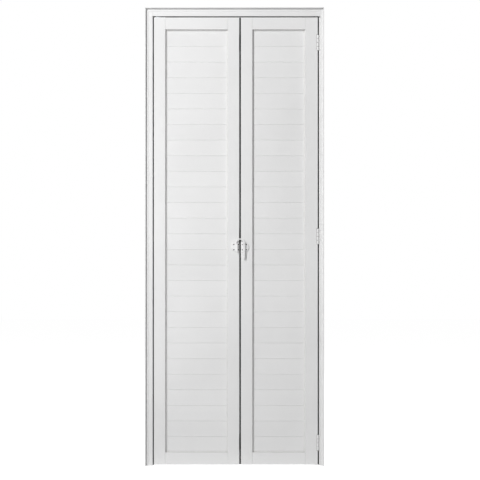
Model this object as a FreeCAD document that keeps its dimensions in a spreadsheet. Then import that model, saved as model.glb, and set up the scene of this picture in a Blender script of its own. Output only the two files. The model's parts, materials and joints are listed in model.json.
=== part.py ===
"""Framed bifold door in white aluminium: a mitred frame, two plank-panelled leaves that fold towards
the viewer, butt hinges, a guide wheel in the head and a hook latch across the fold.

Lengths are millimetres. +Z is up and +Y runs from the viewer into the wall. The origin lies on the
floor at the middle of the frame's width and, near enough, of the door's whole depth. Profiles are
drawn with their depth counted back from the front plane of the leaves.
"""

import FreeCAD, Part
import math
import os
import re
import Sketcher
from FreeCAD import Rotation, Vector

doc = FreeCAD.newDocument("BifoldDoor")

# Driving dimensions

SIZES = {
    # Frame
    "frame_width": 820,
    "frame_height": 2100,
    "frame_depth": 76,
    "frame_proud": 5,
    "frame_face": 22,
    "frame_wall": 1.5,
    "lip_face": 3.5,
    "lip_proud": 12,
    "step_face": 6,
    "step_set_back": 6,
    "stop_reach": 17,
    "stop_wall": 2,
    "stop_set_back": 31,
    "mitre_gap": 0.2,
    "fixing_radius": 3.5,
    "fixing_access_radius": 6,
    "fixing_set_back": 45,
    "outer_fixing_rise": 150,
    "key_leg": 60,
    "key_set_back": 30,
    "key_depth": 20,
    "key_screw_run": 45,
    # Closing strip and pile seal
    "strip_face": 12.5,
    "strip_lip": 10.5,
    "strip_lip_proud": 0.8,
    "strip_set_back": 27,
    "strip_wall": 1.4,
    "pile_width": 4,
    "pile_slot": 2,
    "pile_clear": 0.4,
    "pile_set_back": 12,
    # Guide track
    "track_drop": 39,
    "track_lip": 11,
    "track_wall": 1.6,
    "track_web": 1.8,
    "track_flange": 13,
    "track_screw_spacing": 220,
    # Rubber gaskets
    "gasket_thickness": 1.8,
    "gasket_lip_from": 12,
    "gasket_lip_foot": 4,
    "gasket_lip_tip": 1.5,
    "gasket_clear": 0.5,
    "fold_gasket_back": 6,
    "fold_gasket_depth": 4.5,
    "fold_gasket_base": 1.25,
    # Leaves
    "leaf_front_offset": 21,
    "leaf_depth": 25,
    "leaf_wall": 1.5,
    "stile_face": 52,
    "rail_face": 54,
    "edge_break": 0.8,
    "cover_reach": 5,
    "cover_wall": 1.5,
    "panel_lip": 8,
    "panel_lip_wall": 1.6,
    "floor_gap": 5,
    "top_gap": 5,
    "left_gap": 5.5,
    "fold_gap": 8,
    "seam_gap": 0.15,
    "block_length": 40,
    "cap_length": 12,
    "corner_screw_run": 30,
    "access_radius": 5,
    # Planks and beads
    "plank_count": 27,
    "plank_depth": 12,
    "plank_wall": 1.2,
    "plank_chamfer": 1,
    "plank_joint": 0.2,
    "tongue_height": 6,
    "tongue_depth": 4,
    "tongue_fit": 0.3,
    "bead_set_back": 0.8,
    "bead_wall": 1.2,
    # Hinges
    "hinge_height": 72,
    "knuckle_radius": 5.25,
    "knuckle_gap": 0.8,
    "knuckle_clear": 0.35,
    "hinge_set_back": 4,
    "flap_thickness": 2,
    "flap_reach": 19.5,
    "flap_relief": 0.4,
    "jamb_knuckles": 4,
    "fold_knuckles": 2,
    "fold_tab_reach": 2.9,
    "hinge_pin_radius": 2.5,
    "running_fit": 0.05,
    "top_hinge_inset": 115,
    "middle_hinge_lift": 21,
    "bottom_hinge_inset": 99,
    "flap_screw_reach": 14.5,
    "flap_screw_spacing": 48,
    # Screws
    "screw_radius": 1.9,
    "screw_head_radius": 3.4,
    "screw_head_height": 1,
    "screw_length": 12,
    "block_screw_radius": 2.4,
    "block_screw_head_radius": 4,
    "block_screw_head_height": 2.5,
    "block_screw_length": 24,
    # Guide wheel, pin and bracket
    "guide_inset": 38.5,
    "wheel_radius": 5.25,
    "wheel_clear": 0.35,
    "wheel_height": 9,
    "wheel_lift": 2.5,
    "guide_pin_radius": 2.5,
    "guide_collar_radius": 4,
    "guide_head_radius": 3.6,
    "guide_head_height": 1.5,
    "bracket_length": 44,
    "bracket_depth": 20,
    "bracket_thickness": 3,
    "bracket_overlap": 12,
    "bracket_screw_gap": 14,
    # Latch
    "latch_rise": 1002,
    "plate_width": 35,
    "plate_height": 47,
    "plate_thickness": 4.5,
    "plate_corner": 3,
    "plate_end_radius": 23,
    "keeper_end_radius": 8,
    "plate_screw_inset": 7,
    "plate_screw_outset": 24.6,
    "keeper_screw_inset": 3.6,
    "plate_screw_spacing": 24,
    "plate_screw_radius": 1.6,
    "plate_screw_head_radius": 2.6,
    "plate_screw_head_height": 1.4,
    "plate_screw_length": 9,
    "keeper_slant_width": 28.5,
    "keeper_slant_height": 12,
    "pivot_inset": 14,
    "pivot_lift": 18,
    "pivot_radius": 2.5,
    "pivot_head_radius": 5,
    "pivot_head_height": 2.5,
    "boss_radius": 5,
    "boss_height": 3.5,
    "lever_gap": 0.3,
    "lever_thickness": 5.7,
    "lever_hub_radius": 7.5,
    "lever_top_width": 12.5,
    "lever_tip_width": 9.5,
    "lever_length": 70,
    "hook_width": 5.5,
    "hook_lift": 1,
    "catch_width": 4,
    "catch_height": 40,
    "catch_depth": 9,
    "catch_clear": 0.5,
    # One run past the material for every cut
    "overrun": 1,
}

# Places worked out from the driving dimensions

PLACES = {
    "front": "0 - leaf_front_offset",
    "half_width": "frame_width / 2",
    "frame_front": "0 - frame_proud",
    "lip_front": "frame_front - lip_proud",
    "frame_back": "lip_front + frame_depth",
    "stop_edge": "frame_face + stop_reach",
    "inner_fixing_rise": "outer_fixing_rise + (frame_height - 2 * outer_fixing_rise) / 3",
    "strip_edge": "frame_face + strip_face",
    "left_edge": "strip_edge + left_gap - half_width",
    "axis_clear": "knuckle_radius + knuckle_clear",
    "hinge_x": "half_width - frame_face - axis_clear",
    "guide_x": "left_edge + guide_inset",
    "fold_arm": "(hinge_x - guide_x) / 2",
    "fold_x": "hinge_x - fold_arm",
    "fold_y": "leaf_depth + axis_clear",
    "right_edge": "hinge_x - axis_clear",
    "left_leaf_width": "fold_x - fold_gap / 2 - left_edge",
    "right_leaf_width": "right_edge - fold_x - fold_gap / 2",
    "left_leaf_x": "left_edge + left_leaf_width / 2",
    "right_leaf_x": "right_edge - right_leaf_width / 2",
    "track_bottom": "frame_height - track_drop",
    "leaf_top": "track_bottom - top_gap",
    "leaf_height": "leaf_top - floor_gap",
    "leaf_middle": "floor_gap + leaf_height / 2",
    "low_hinge_rise": "floor_gap + bottom_hinge_inset",
    "middle_hinge_rise": "leaf_middle + middle_hinge_lift",
    "high_hinge_rise": "leaf_top - top_hinge_inset",
    "panel_height": "leaf_height - 2 * rail_face",
    "panel_back": "leaf_depth - panel_lip_wall - plank_joint",
    "panel_front": "panel_back - plank_depth",
    "plank_pitch": "(panel_height - 2 * tongue_fit - tongue_height) / plank_count",
    "plank_body": "plank_pitch - plank_joint",
    "tongue_front": "panel_front + (plank_depth - tongue_depth) / 2",
    "tongue_back": "tongue_front + tongue_depth",
    "groove_height": "tongue_height + tongue_fit",
    "bead_back": "panel_front - plank_joint",
    "screw_hole": "screw_radius + running_fit",
    "block_screw_hole": "block_screw_radius + running_fit",
    "plate_screw_hole": "plate_screw_radius + running_fit",
    "track_top": "track_drop - frame_face - seam_gap",
    "step_top": "track_drop - frame_face + step_face - seam_gap",
    "channel_half": "wheel_radius + wheel_clear",
    "channel_front": "hinge_set_back - channel_half",
    "channel_back": "hinge_set_back + channel_half",
    "channel_top": "track_top - track_web",
    "strip_flange": "frame_face - step_face + seam_gap",
    "latch_x": "fold_x + fold_gap / 2",
    "keeper_x": "fold_x - fold_gap / 2",
    "pivot_x": "latch_x + pivot_inset",
    "pivot_z": "latch_rise + pivot_lift",
    "lever_back": "plate_thickness + boss_height + lever_gap",
    "hook_z": "pivot_z + hook_lift",
    "hook_radius": "pivot_x - fold_x",
    "catch_x": "fold_x - hook_radius + hook_width / 2 + catch_clear",
}


def bound(formula):
    """The formula with every size and place written as the cell that holds it."""
    def cell(match):
        word = match[0]
        if word in SIZES:
            return f"Size.{word}"
        return f"Place.{word}" if word in PLACES else word
    return re.sub(r"[a-z_]+", cell, formula)


def fill(name, cells):
    """A sheet with one named cell in each row."""
    sheet = doc.addObject("Spreadsheet::Sheet", name)
    for row, (alias, content) in enumerate(cells.items(), start=1):
        sheet.set(f"A{row}", alias)
        sheet.set(f"B{row}", content)
        sheet.setAlias(f"B{row}", alias)
    doc.recompute()
    return sheet


fill("Size", {alias: str(value) for alias, value in SIZES.items()})
place_sheet = fill("Place", {alias: "=" + bound(formula) for alias, formula in PLACES.items()})


def number(formula):
    """What a formula of sizes and places comes to."""
    return float(place_sheet.evalExpression(bound(formula)))


def place(thing, x="0", y="front", z="0"):
    for axis, formula in zip("xyz", (x, y, z)):
        thing.setExpression(f"Placement.Base.{axis}", bound(formula))


# Building steps that the pieces share

parts = []


def new_body(label, x="0", y="front", z="0"):
    """An empty body at a place, with its depth counted from the front plane of the leaves."""
    body = doc.addObject("PartDesign::Body", label)
    body.Label = label
    body.AllowCompound = True
    place(body, x, y, z)
    parts.append(body)
    return body


def sketch_on(body, role, offset="0"):
    """A sketch on one of the body's own planes, moved along the plane's normal."""
    sketch = body.newObject("Sketcher::SketchObject", f"{body.Name}_sketch")
    plane = next(feature for feature in body.Origin.OriginFeatures if feature.Role == role)
    sketch.AttachmentSupport = [(plane, "")]
    sketch.MapMode = "FlatFace"
    sketch.setExpression("AttachmentOffset.Base.z", bound(offset))
    return sketch


def drive(sketch, kind, geometry, point, formula):
    """Hold one coordinate of a sketch point at a formula."""
    constraint = Sketcher.Constraint(kind, -1, 1, geometry, point, number(formula))
    index = sketch.addConstraint(constraint)
    sketch.setExpression(f"Constraints[{index}]", bound(formula))


def outline(sketch, corners, sign=1):
    """A closed outline through (across, up) formulas, mirrored across when sign is -1."""
    corners = [(f"{sign} * ({across})", up) for across, up in corners]
    points = [Vector(number(across), number(up), 0) for across, up in corners]
    ends = points[1:] + points[:1]
    lines = [sketch.addGeometry(Part.LineSegment(a, b), False) for a, b in zip(points, ends)]
    for line, following in zip(lines, lines[1:] + lines[:1]):
        sketch.addConstraint(Sketcher.Constraint("Coincident", line, 2, following, 1))
    for line, (across, up) in zip(lines, corners):
        drive(sketch, "DistanceX", line, 1, across)
        drive(sketch, "DistanceY", line, 1, up)


def circles(sketch, centres, radius):
    """Circles of one radius about (across, up) formulas."""
    for across, up in centres:
        middle = Vector(number(across), number(up), 0)
        circle = sketch.addGeometry(Part.Circle(middle, Vector(0, 0, 1), number(radius)), False)
        drive(sketch, "DistanceX", circle, 3, across)
        drive(sketch, "DistanceY", circle, 3, up)
        index = sketch.addConstraint(Sketcher.Constraint("Radius", circle, number(radius)))
        sketch.setExpression(f"Constraints[{index}]", bound(radius))


HEAD_SIDES = 6
SHANK_SIDES = 4


def shank_outline(across, up, radius):
    """The corners of a square screw hole about a centre."""
    turns = [2 * math.pi * corner / SHANK_SIDES for corner in range(SHANK_SIDES)]
    return [
        (f"({across}) + {math.cos(turn):.6f} * ({radius})", f"({up}) + {math.sin(turn):.6f} * ({radius})")
        for turn in turns
    ]


def pad(body, sketch, length, symmetric=False):
    feature = body.newObject("PartDesign::Pad", f"{body.Name}_pad")
    feature.Profile = sketch
    feature.setExpression("Length", bound(length))
    if symmetric:
        feature.SideType = "Symmetric"
    body.Tip = feature
    doc.recompute()
    return feature


def cut(body, sketch, depth=None):
    """Cut to a depth shared evenly by both sides of the sketch, or right through, and see it bite."""
    before = body.Shape.Volume
    feature = body.newObject("PartDesign::Pocket", f"{body.Name}_pocket")
    feature.Profile = sketch
    feature.SideType = "Symmetric"
    if depth is None:
        feature.Type = "ThroughAll"
    else:
        feature.setExpression("Length", bound(depth))
    body.Tip = feature
    doc.recompute()
    if body.Shape.Volume >= before:
        raise RuntimeError(f"{body.Label}: a cut removed nothing")
    return feature


def drill(body, role, offset, centres, radius, depth=None):
    """Round holes about (across, up) formulas, cut evenly to both sides of a plane."""
    sketch = sketch_on(body, role, offset)
    circles(sketch, centres, radius)
    return cut(body, sketch, depth)


def screw_holes(body, role, offset, centres, radius, depth=None):
    """Square holes for screws about (across, up) formulas."""
    sketch = sketch_on(body, role, offset)
    for across, up in centres:
        outline(sketch, shank_outline(across, up, radius))
    return cut(body, sketch, depth)


def hollow(body, role, rim, bore, length, offset="0", sign=1):
    """A hollow extrusion: a rim and the bore inside it, run along the plane's normal."""
    sketch = sketch_on(body, role, offset)
    outline(sketch, rim, sign)
    outline(sketch, bore, sign)
    return pad(body, sketch, length)


def solid(body, role, rim, length, offset="0", sign=1, symmetric=False):
    """A solid extrusion of one outline along the plane's normal."""
    sketch = sketch_on(body, role, offset)
    outline(sketch, rim, sign)
    return pad(body, sketch, length, symmetric)


def mirror(body, role):
    """Repeat all of the body across one of its own planes."""
    plane = next(feature for feature in body.Origin.OriginFeatures if feature.Role == role)
    feature = body.newObject("PartDesign::Mirrored", f"{body.Name}_mirror")
    feature.TransformMode = "Whole shape"
    feature.MirrorPlane = (plane, [""])
    body.Tip = feature
    doc.recompute()
    return feature


def rectangle(across_from, up_from, across_to, up_to):
    return [(across_from, up_from), (across_to, up_from), (across_to, up_to), (across_from, up_to)]


def many_sided_bar(sides, radius, length, foot, way):
    """A bar from a foot along a direction, with one corner where the holes have theirs."""
    across = Vector(0, 1, 0) if abs(way.x) == 1 else Vector(1, 0, 0)
    arm = across * radius
    corners = [
        foot + Rotation(way, math.degrees(2 * math.pi * corner / sides)).multVec(arm)
        for corner in range(sides)
    ]
    return Part.Face(Part.makePolygon(corners + corners[:1])).extrude(way * length)


def screws(label, kind, places):
    """Pan-head screws as one group. Each place is where the head seats, and the way the shank points."""
    names = ("radius", "length", "head_radius", "head_height")
    radius, length, head_radius, head_height = (number(f"{kind}_{name}") for name in names)
    group = []
    for seat, way in places:
        seat = Vector(*(number(formula) for formula in seat))
        shank = many_sided_bar(SHANK_SIDES, radius, length, seat, way)
        head = many_sided_bar(HEAD_SIDES, head_radius, head_height, seat, way * -1)
        group.append(head.fuse(shank).removeSplitter())
    feature = doc.addObject("Part::Feature", label)
    feature.Label = label
    feature.Shape = Part.makeCompound(group)
    place(feature)
    parts.append(feature)
    return feature


# Frame: three lengths of one hollow extrusion, mitred at the top corners

def frame_rim():
    """The frame's section, counted from its outer face inwards and from front to back."""
    return [
        ("0", "lip_front"),
        ("lip_face", "lip_front"),
        ("lip_face", "frame_front"),
        ("frame_face - step_face", "frame_front"),
        ("frame_face - step_face", "step_set_back"),
        ("frame_face", "step_set_back"),
        ("frame_face", "stop_set_back"),
        ("stop_edge", "stop_set_back"),
        ("stop_edge", "stop_set_back + stop_wall"),
        ("frame_face", "stop_set_back + stop_wall"),
        ("frame_face", "frame_back"),
        ("0", "frame_back"),
    ]


def frame_bore():
    inner_front = "frame_front + frame_wall"
    return [
        ("frame_wall", inner_front),
        ("frame_face - step_face - frame_wall", inner_front),
        ("frame_face - step_face - frame_wall", "step_set_back + frame_wall"),
        ("frame_face - frame_wall", "step_set_back + frame_wall"),
        ("frame_face - frame_wall", "frame_back - frame_wall"),
        ("frame_wall", "frame_back - frame_wall"),
    ]


def flipped(corners, base):
    """A section turned to stand under a level, with across and up exchanged."""
    return [(up, f"{base} - ({across})") for across, up in corners]


INNER_WALL = "frame_face - frame_wall / 2"
KEY_SCREW_BACK = "key_set_back + key_depth / 2"
KEY_SCREW_RISE = "frame_height - key_screw_run"
FIXINGS = [
    ("fixing_set_back", rise)
    for base in ("outer_fixing_rise", "inner_fixing_rise")
    for rise in (base, f"frame_height - {base}")
]
HINGE_RISES = {"upper": "high_hinge_rise", "middle": "middle_hinge_rise", "lower": "low_hinge_rise"}


def flap_screw_rises(base="0"):
    """The heights of every hinge screw in one line of hinges."""
    return [
        f"{rise} + {side} * flap_screw_spacing / 2 - ({base})"
        for rise in HINGE_RISES.values()
        for side in (-1, 1)
    ]


def jamb(label, sign):
    """A jamb from the floor to its mitre, drilled for the wall fixings and the corner key."""
    body = new_body(label, f"{-sign} * half_width")
    hollow(body, "XY_Plane", frame_rim(), frame_bore(), "frame_height", sign=sign)
    mitre = sketch_on(body, "XZ_Plane")
    corner = "frame_height - mitre_gap / 2"
    outline(mitre, [
        ("0 - overrun", f"{corner} + overrun"),
        ("stop_edge + overrun", f"{corner} + overrun"),
        ("stop_edge + overrun", f"{corner} - stop_edge - overrun"),
    ], sign)
    cut(body, mitre)
    drill(body, "YZ_Plane", f"{sign} * frame_wall / 2", FIXINGS, "fixing_radius", "2 * frame_wall")
    inner_wall = f"{sign} * ({INNER_WALL})"
    screw_holes(body, "YZ_Plane", inner_wall, FIXINGS, "fixing_access_radius", "2 * frame_wall")
    key_screw = [(KEY_SCREW_BACK, KEY_SCREW_RISE)]
    screw_holes(body, "YZ_Plane", inner_wall, key_screw, "screw_hole", "2 * frame_wall")
    return body


left_jamb = jamb("left_jamb", 1)
right_jamb = jamb("right_jamb", -1)
flap_holes = [("hinge_set_back + flap_screw_reach", rise) for rise in flap_screw_rises()]
screw_holes(right_jamb, "YZ_Plane", f"0 - ({INNER_WALL})", flap_holes, "screw_hole", "2 * frame_wall")

TRACK_SCREWS = [f"{step} * track_screw_spacing" for step in (-1.5, -0.5, 0.5, 1.5)]
TRACK_SCREW_BACK = "channel_back + track_wall + track_flange / 2"

head = new_body("head", "0 - half_width", z="frame_height")
hollow(head, "YZ_Plane", flipped(frame_rim(), "0"), flipped(frame_bore(), "0"), "frame_width")
for sign, end in ((1, "0"), (-1, "frame_width")):
    mitre = sketch_on(head, "XZ_Plane")
    near = "mitre_gap / 2"
    outline(mitre, [
        (f"{end} + {sign} * ({near} - overrun)", "overrun"),
        (f"{end} + {sign} * ({near} + stop_edge + overrun)", "0 - stop_edge - overrun"),
        (f"{end} + {sign} * (0 - overrun)", "0 - stop_edge - overrun"),
        (f"{end} + {sign} * (0 - overrun)", "overrun"),
    ])
    cut(head, mitre)
under_wall = "0 - (frame_face - frame_wall / 2)"
head_holes = [(f"half_width + {x}", TRACK_SCREW_BACK) for x in TRACK_SCREWS]
head_holes += [(run, KEY_SCREW_BACK) for run in ("key_screw_run", "frame_width - key_screw_run")]
screw_holes(head, "XY_Plane", under_wall, head_holes, "screw_hole", "2 * frame_wall")

# Corner keys: cast angles that fill the extrusions behind each mitre


def corner_key(label, sign):
    body = new_body(label, f"{-sign} * half_width", z="frame_height")
    near = "frame_wall + seam_gap"
    far = "frame_face - frame_wall - seam_gap"
    solid(body, "XZ_Plane", [
        (near, f"0 - ({near})"),
        ("key_leg", f"0 - ({near})"),
        ("key_leg", f"0 - ({far})"),
        (far, f"0 - ({far})"),
        (far, "0 - key_leg"),
        (near, "0 - key_leg"),
    ], "key_depth", "0 - key_set_back - key_depth", sign)
    screw_holes(body, "YZ_Plane", f"{sign} * ({far})", [(KEY_SCREW_BACK, "0 - key_screw_run")],
                "screw_hole", "2 * screw_length")
    screw_holes(body, "XY_Plane", f"0 - ({far})", [(f"{sign} * key_screw_run", KEY_SCREW_BACK)],
                "screw_hole", "2 * screw_length")


corner_key("left_corner_key", 1)
corner_key("right_corner_key", -1)

LEFTWARDS, RIGHTWARDS = Vector(-1, 0, 0), Vector(1, 0, 0)
UPWARDS, DOWNWARDS = Vector(0, 0, 1), Vector(0, 0, -1)
BACKWARDS = Vector(0, 1, 0)

key_screws = []
for sign, way in ((1, LEFTWARDS), (-1, RIGHTWARDS)):
    side_seat = (f"{-sign} * (half_width - frame_face)", KEY_SCREW_BACK, KEY_SCREW_RISE)
    under_seat = (f"{-sign} * (half_width - key_screw_run)", KEY_SCREW_BACK, "frame_height - frame_face")
    key_screws += [(side_seat, way), (under_seat, UPWARDS)]
screws("corner_key_screws", "screw", key_screws)

# Closing strip: a hollow strip seated in the left jamb's step, with a slot for its pile seal

strip = new_body("closing_strip", "0 - half_width")
seat = "step_set_back - seam_gap"
jamb_side = "frame_face + seam_gap"
pile_floor = "strip_edge - pile_slot"
lip_line = "strip_edge - strip_lip"
strip_face_back = "frame_front + strip_lip_proud"
hollow(strip, "XY_Plane", [
    ("strip_flange", strip_face_back),
    (lip_line, strip_face_back),
    (lip_line, "frame_front"),
    ("strip_edge", "frame_front"),
    ("strip_edge", "pile_set_back"),
    (pile_floor, "pile_set_back"),
    (pile_floor, "pile_set_back + pile_width"),
    ("strip_edge", "pile_set_back + pile_width"),
    ("strip_edge", "strip_set_back"),
    (jamb_side, "strip_set_back"),
    (jamb_side, seat),
    ("strip_flange", seat),
], [
    (f"{jamb_side} + strip_wall", "frame_front + strip_lip_proud + strip_wall"),
    (f"{pile_floor} - strip_wall", "frame_front + strip_lip_proud + strip_wall"),
    (f"{pile_floor} - strip_wall", "strip_set_back - strip_wall"),
    (f"{jamb_side} + strip_wall", "strip_set_back - strip_wall"),
], "track_bottom + step_top")
notch = sketch_on(strip, "YZ_Plane")
outline(notch, rectangle(seat, "track_bottom + track_top", "strip_set_back + overrun", "frame_height"))
cut(strip, notch)

pile = new_body("pile_seal", "0 - half_width")
pile_side = "pile_set_back + seam_gap"
solid(pile, "XY_Plane", rectangle(
    f"{pile_floor} + seam_gap", pile_side,
    "strip_edge + left_gap - pile_clear", "pile_set_back + pile_width - seam_gap",
), "track_bottom - seam_gap")

# Stop gaskets: black rubber strips on the front of the stop, along the right jamb and the head

gasket_back = "stop_set_back - seam_gap"
gasket_front = "stop_set_back - gasket_thickness"
gasket_tip = "leaf_depth + gasket_clear"
STOP_GASKET = [
    ("frame_face + seam_gap", gasket_back),
    ("stop_edge", gasket_back),
    ("stop_edge", gasket_front),
    ("frame_face + gasket_lip_from + gasket_lip_foot", gasket_front),
    ("frame_face + gasket_lip_from + gasket_lip_tip", gasket_tip),
    ("frame_face + gasket_lip_from", gasket_tip),
    ("frame_face + gasket_lip_from", gasket_front),
    ("frame_face + seam_gap", gasket_front),
]
upright_gasket = new_body("jamb_gasket", "half_width")
solid(upright_gasket, "XY_Plane", STOP_GASKET, "frame_height - stop_edge - seam_gap", sign=-1)
level_gasket = new_body("head_gasket", z="frame_height")
solid(level_gasket, "YZ_Plane", flipped(STOP_GASKET, "0"), "2 * (half_width - stop_edge - seam_gap)",
      symmetric=True)

# Guide track: a channel under the head, open below, with a cover flange and a screwed back flange

track = new_body("guide_track", "strip_edge + seam_gap - half_width", z="track_bottom")
track_front = "frame_front + strip_lip_proud"
flange_back = "channel_back + track_wall + track_flange"
hollow(track, "YZ_Plane", [
    ("frame_front", "0"),
    ("channel_front", "0"),
    ("channel_front", "channel_top"),
    ("channel_back", "channel_top"),
    ("channel_back", "0"),
    ("channel_back + track_wall", "0"),
    ("channel_back + track_wall", "channel_top"),
    (flange_back, "channel_top"),
    (flange_back, "track_top"),
    (seat, "track_top"),
    (seat, "step_top"),
    (track_front, "step_top"),
    (track_front, "track_lip"),
    ("frame_front", "track_lip"),
], rectangle(
    f"{track_front} + track_wall", "channel_top + track_web",
    f"{seat} - track_wall", "step_top - track_web",
), "hinge_x - strip_edge - seam_gap + half_width")
track_holes = [(f"half_width - strip_edge - seam_gap + {x}", TRACK_SCREW_BACK) for x in TRACK_SCREWS]
screw_holes(track, "XY_Plane", "channel_top + track_web / 2", track_holes, "screw_hole", "2 * track_web")
track_seat = "track_bottom + channel_top"
screws("track_screws", "screw", [((x, TRACK_SCREW_BACK, track_seat), UPWARDS) for x in TRACK_SCREWS])

# Leaves: hollow stiles and rails with a lip behind the planks

CORNER_SCREWS = [
    ("leaf_depth / 2", rise)
    for rise in ("corner_screw_run", "leaf_height - corner_screw_run")
]


PLAIN_CORNER = [("0", "edge_break"), ("edge_break", "0")]
COVER_CORNER = [("0", "cover_wall"), ("0 - cover_reach", "cover_wall"), ("0 - cover_reach", "0")]


def stile(label, edge, sign, front_corner):
    """A stile whose outer edge stands at a place, with its lip between the rails. Its front outer
    corner is plain, or covers part of the gap beside it."""
    body = new_body(label, edge, z="floor_gap")
    hollow(body, "XY_Plane", front_corner + [
        ("stile_face - edge_break", "0"),
        ("stile_face", "edge_break"),
        ("stile_face", "leaf_depth"),
        ("edge_break", "leaf_depth"),
        ("0", "leaf_depth - edge_break"),
    ], rectangle(
        "leaf_wall", "leaf_wall", "stile_face - leaf_wall", "leaf_depth - leaf_wall",
    ), "leaf_height", sign=sign)
    solid(body, "XY_Plane", rectangle(
        "stile_face", "leaf_depth - panel_lip_wall", "stile_face + panel_lip", "leaf_depth",
    ), "panel_height", "rail_face", sign)
    screw_holes(body, "YZ_Plane", f"{sign} * (stile_face - leaf_wall / 2)", CORNER_SCREWS,
                "block_screw_hole", "2 * leaf_wall")
    screw_holes(body, "YZ_Plane", f"{sign} * leaf_wall / 2", CORNER_SCREWS,
                "access_radius", "2 * leaf_wall")
    return body


def rail(label, centre, width, bottom, lip_sign):
    """A rail between the stiles of one leaf. Its lip stands up, or hangs down when lip_sign is -1."""
    body = new_body(label, f"{centre} - {width} / 2 + stile_face + seam_gap", z=bottom)
    length = f"{width} - 2 * (stile_face + seam_gap)"
    hollow(body, "YZ_Plane", [
        ("edge_break", "0"),
        ("leaf_depth - edge_break", "0"),
        ("leaf_depth", "edge_break"),
        ("leaf_depth", "rail_face"),
        ("edge_break", "rail_face"),
        ("0", "rail_face - edge_break"),
        ("0", "edge_break"),
    ], rectangle(
        "leaf_wall", "leaf_wall", "leaf_depth - leaf_wall", "rail_face - leaf_wall",
    ), length)
    lip_from = "rail_face" if lip_sign > 0 else "0 - panel_lip"
    lip_to = "rail_face + panel_lip" if lip_sign > 0 else "0"
    solid(body, "YZ_Plane", rectangle(
        "leaf_depth - panel_lip_wall", lip_from, "leaf_depth", lip_to,
    ), f"{length} - 2 * panel_lip", "panel_lip")
    return body


def corner_blocks(label, centre, width):
    """Four cast blocks inside the rail ends that take the screws through the stiles."""
    body = new_body(label, centre, z="leaf_middle")
    low = "floor_gap - leaf_middle"
    inset = "(leaf_wall + seam_gap)"
    outer = f"stile_face + seam_gap - {width} / 2"
    solid(body, "YZ_Plane", rectangle(
        inset, f"{low} + {inset}",
        f"leaf_depth - {inset}", f"{low} + rail_face - {inset}",
    ), "block_length", outer)
    holes = [("leaf_depth / 2", f"{low} + corner_screw_run")]
    screw_holes(body, "YZ_Plane", outer, holes, "block_screw_hole", "2 * block_screw_length")
    mirror(body, "YZ_Plane")
    mirror(body, "XY_Plane")


def corner_screws(label, centre, width):
    """The screws in the stiles' inner walls, which hold the rails by their corner blocks."""
    places = []
    for sign, way in ((1, RIGHTWARDS), (-1, LEFTWARDS)):
        seat_x = f"{centre} - {sign} * ({width} / 2 - stile_face + leaf_wall)"
        places += [((seat_x, back, f"floor_gap + {rise}"), way) for back, rise in CORNER_SCREWS]
    screws(label, "block_screw", places)


def planks(label, centre, width):
    """Hollow tongue-and-groove planks, stacked between the rails with their tongues up."""
    inset = "stile_face + tongue_fit"
    body = new_body(label, f"{centre} - {width} / 2 + {inset}", z="floor_gap + rail_face + tongue_fit")
    groove_front = "tongue_front - tongue_fit"
    groove_back = "tongue_back + tongue_fit"
    base = hollow(body, "YZ_Plane", [
        ("panel_front", "plank_chamfer"),
        ("panel_front + plank_chamfer", "0"),
        (groove_front, "0"),
        (groove_front, "groove_height"),
        (groove_back, "groove_height"),
        (groove_back, "0"),
        ("panel_back", "0"),
        ("panel_back", "plank_body"),
        ("tongue_back", "plank_body"),
        ("tongue_back", "plank_body + tongue_height"),
        ("tongue_front", "plank_body + tongue_height"),
        ("tongue_front", "plank_body"),
        ("panel_front + plank_chamfer", "plank_body"),
        ("panel_front", "plank_body - plank_chamfer"),
    ], rectangle(
        "panel_front + plank_wall", "groove_height + plank_wall",
        "panel_back - plank_wall", "plank_body - plank_wall",
    ), f"{width} - 2 * ({inset})")
    upright = next(feature for feature in body.Origin.OriginFeatures if feature.Role == "Z_Axis")
    pattern = body.newObject("PartDesign::LinearPattern", f"{body.Name}_stack")
    pattern.Originals = [base]
    pattern.Direction = (upright, [""])
    pattern.Mode = "Spacing"
    pattern.setExpression("Offset", bound("plank_pitch"))
    pattern.setExpression("Occurrences", bound("plank_count"))
    body.Tip = pattern
    doc.recompute()


def bead_section(near):
    """The bead's section: a leg along the frame's edge and a foot that holds the planks back."""
    return [
        (near, "bead_set_back"),
        (f"{near} + bead_wall", "bead_set_back"),
        (f"{near} + bead_wall", "bead_back - bead_wall"),
        (f"{near} + panel_lip", "bead_back - bead_wall"),
        (f"{near} + panel_lip", "bead_back"),
        (near, "bead_back"),
    ]


def bead_mitres(body, role, near, half, across_first):
    """Cut both ends of a bead at 45 degrees, so that it is longest against the frame."""
    for end in (-1, 1):
        tip = f"{end} * ({half} - seam_gap - mitre_gap / 2)"
        corners = [
            (f"{near} - overrun", f"{tip} + {end} * overrun"),
            (f"{near} + panel_lip + overrun", f"{tip} + {end} * overrun"),
            (f"{near} + panel_lip + overrun", f"{tip} - {end} * (panel_lip + overrun)"),
        ]
        if not across_first:
            corners = [(up, across) for across, up in corners]
        sketch = sketch_on(body, role)
        outline(sketch, corners)
        cut(body, sketch)


def beads(side, centre, width):
    """The snap-in beads in front of the planks: two along the stiles and two along the rails."""
    half_height = "panel_height / 2"
    side_near = f"stile_face + seam_gap - {width} / 2"
    upright = new_body(f"{side}_side_beads", centre, z="leaf_middle")
    solid(upright, "XY_Plane", bead_section(side_near), "panel_height", f"0 - {half_height}")
    bead_mitres(upright, "XZ_Plane", side_near, half_height, True)
    mirror(upright, "YZ_Plane")

    half_length = f"({width} / 2 - stile_face)"
    rail_near = f"seam_gap - {half_height}"
    level = new_body(f"{side}_rail_beads", centre, z="leaf_middle")
    section = [(back, across) for across, back in bead_section(rail_near)]
    solid(level, "YZ_Plane", section, f"2 * {half_length}", f"0 - {half_length}")
    bead_mitres(level, "XZ_Plane", rail_near, half_length, False)
    mirror(level, "XY_Plane")


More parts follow.
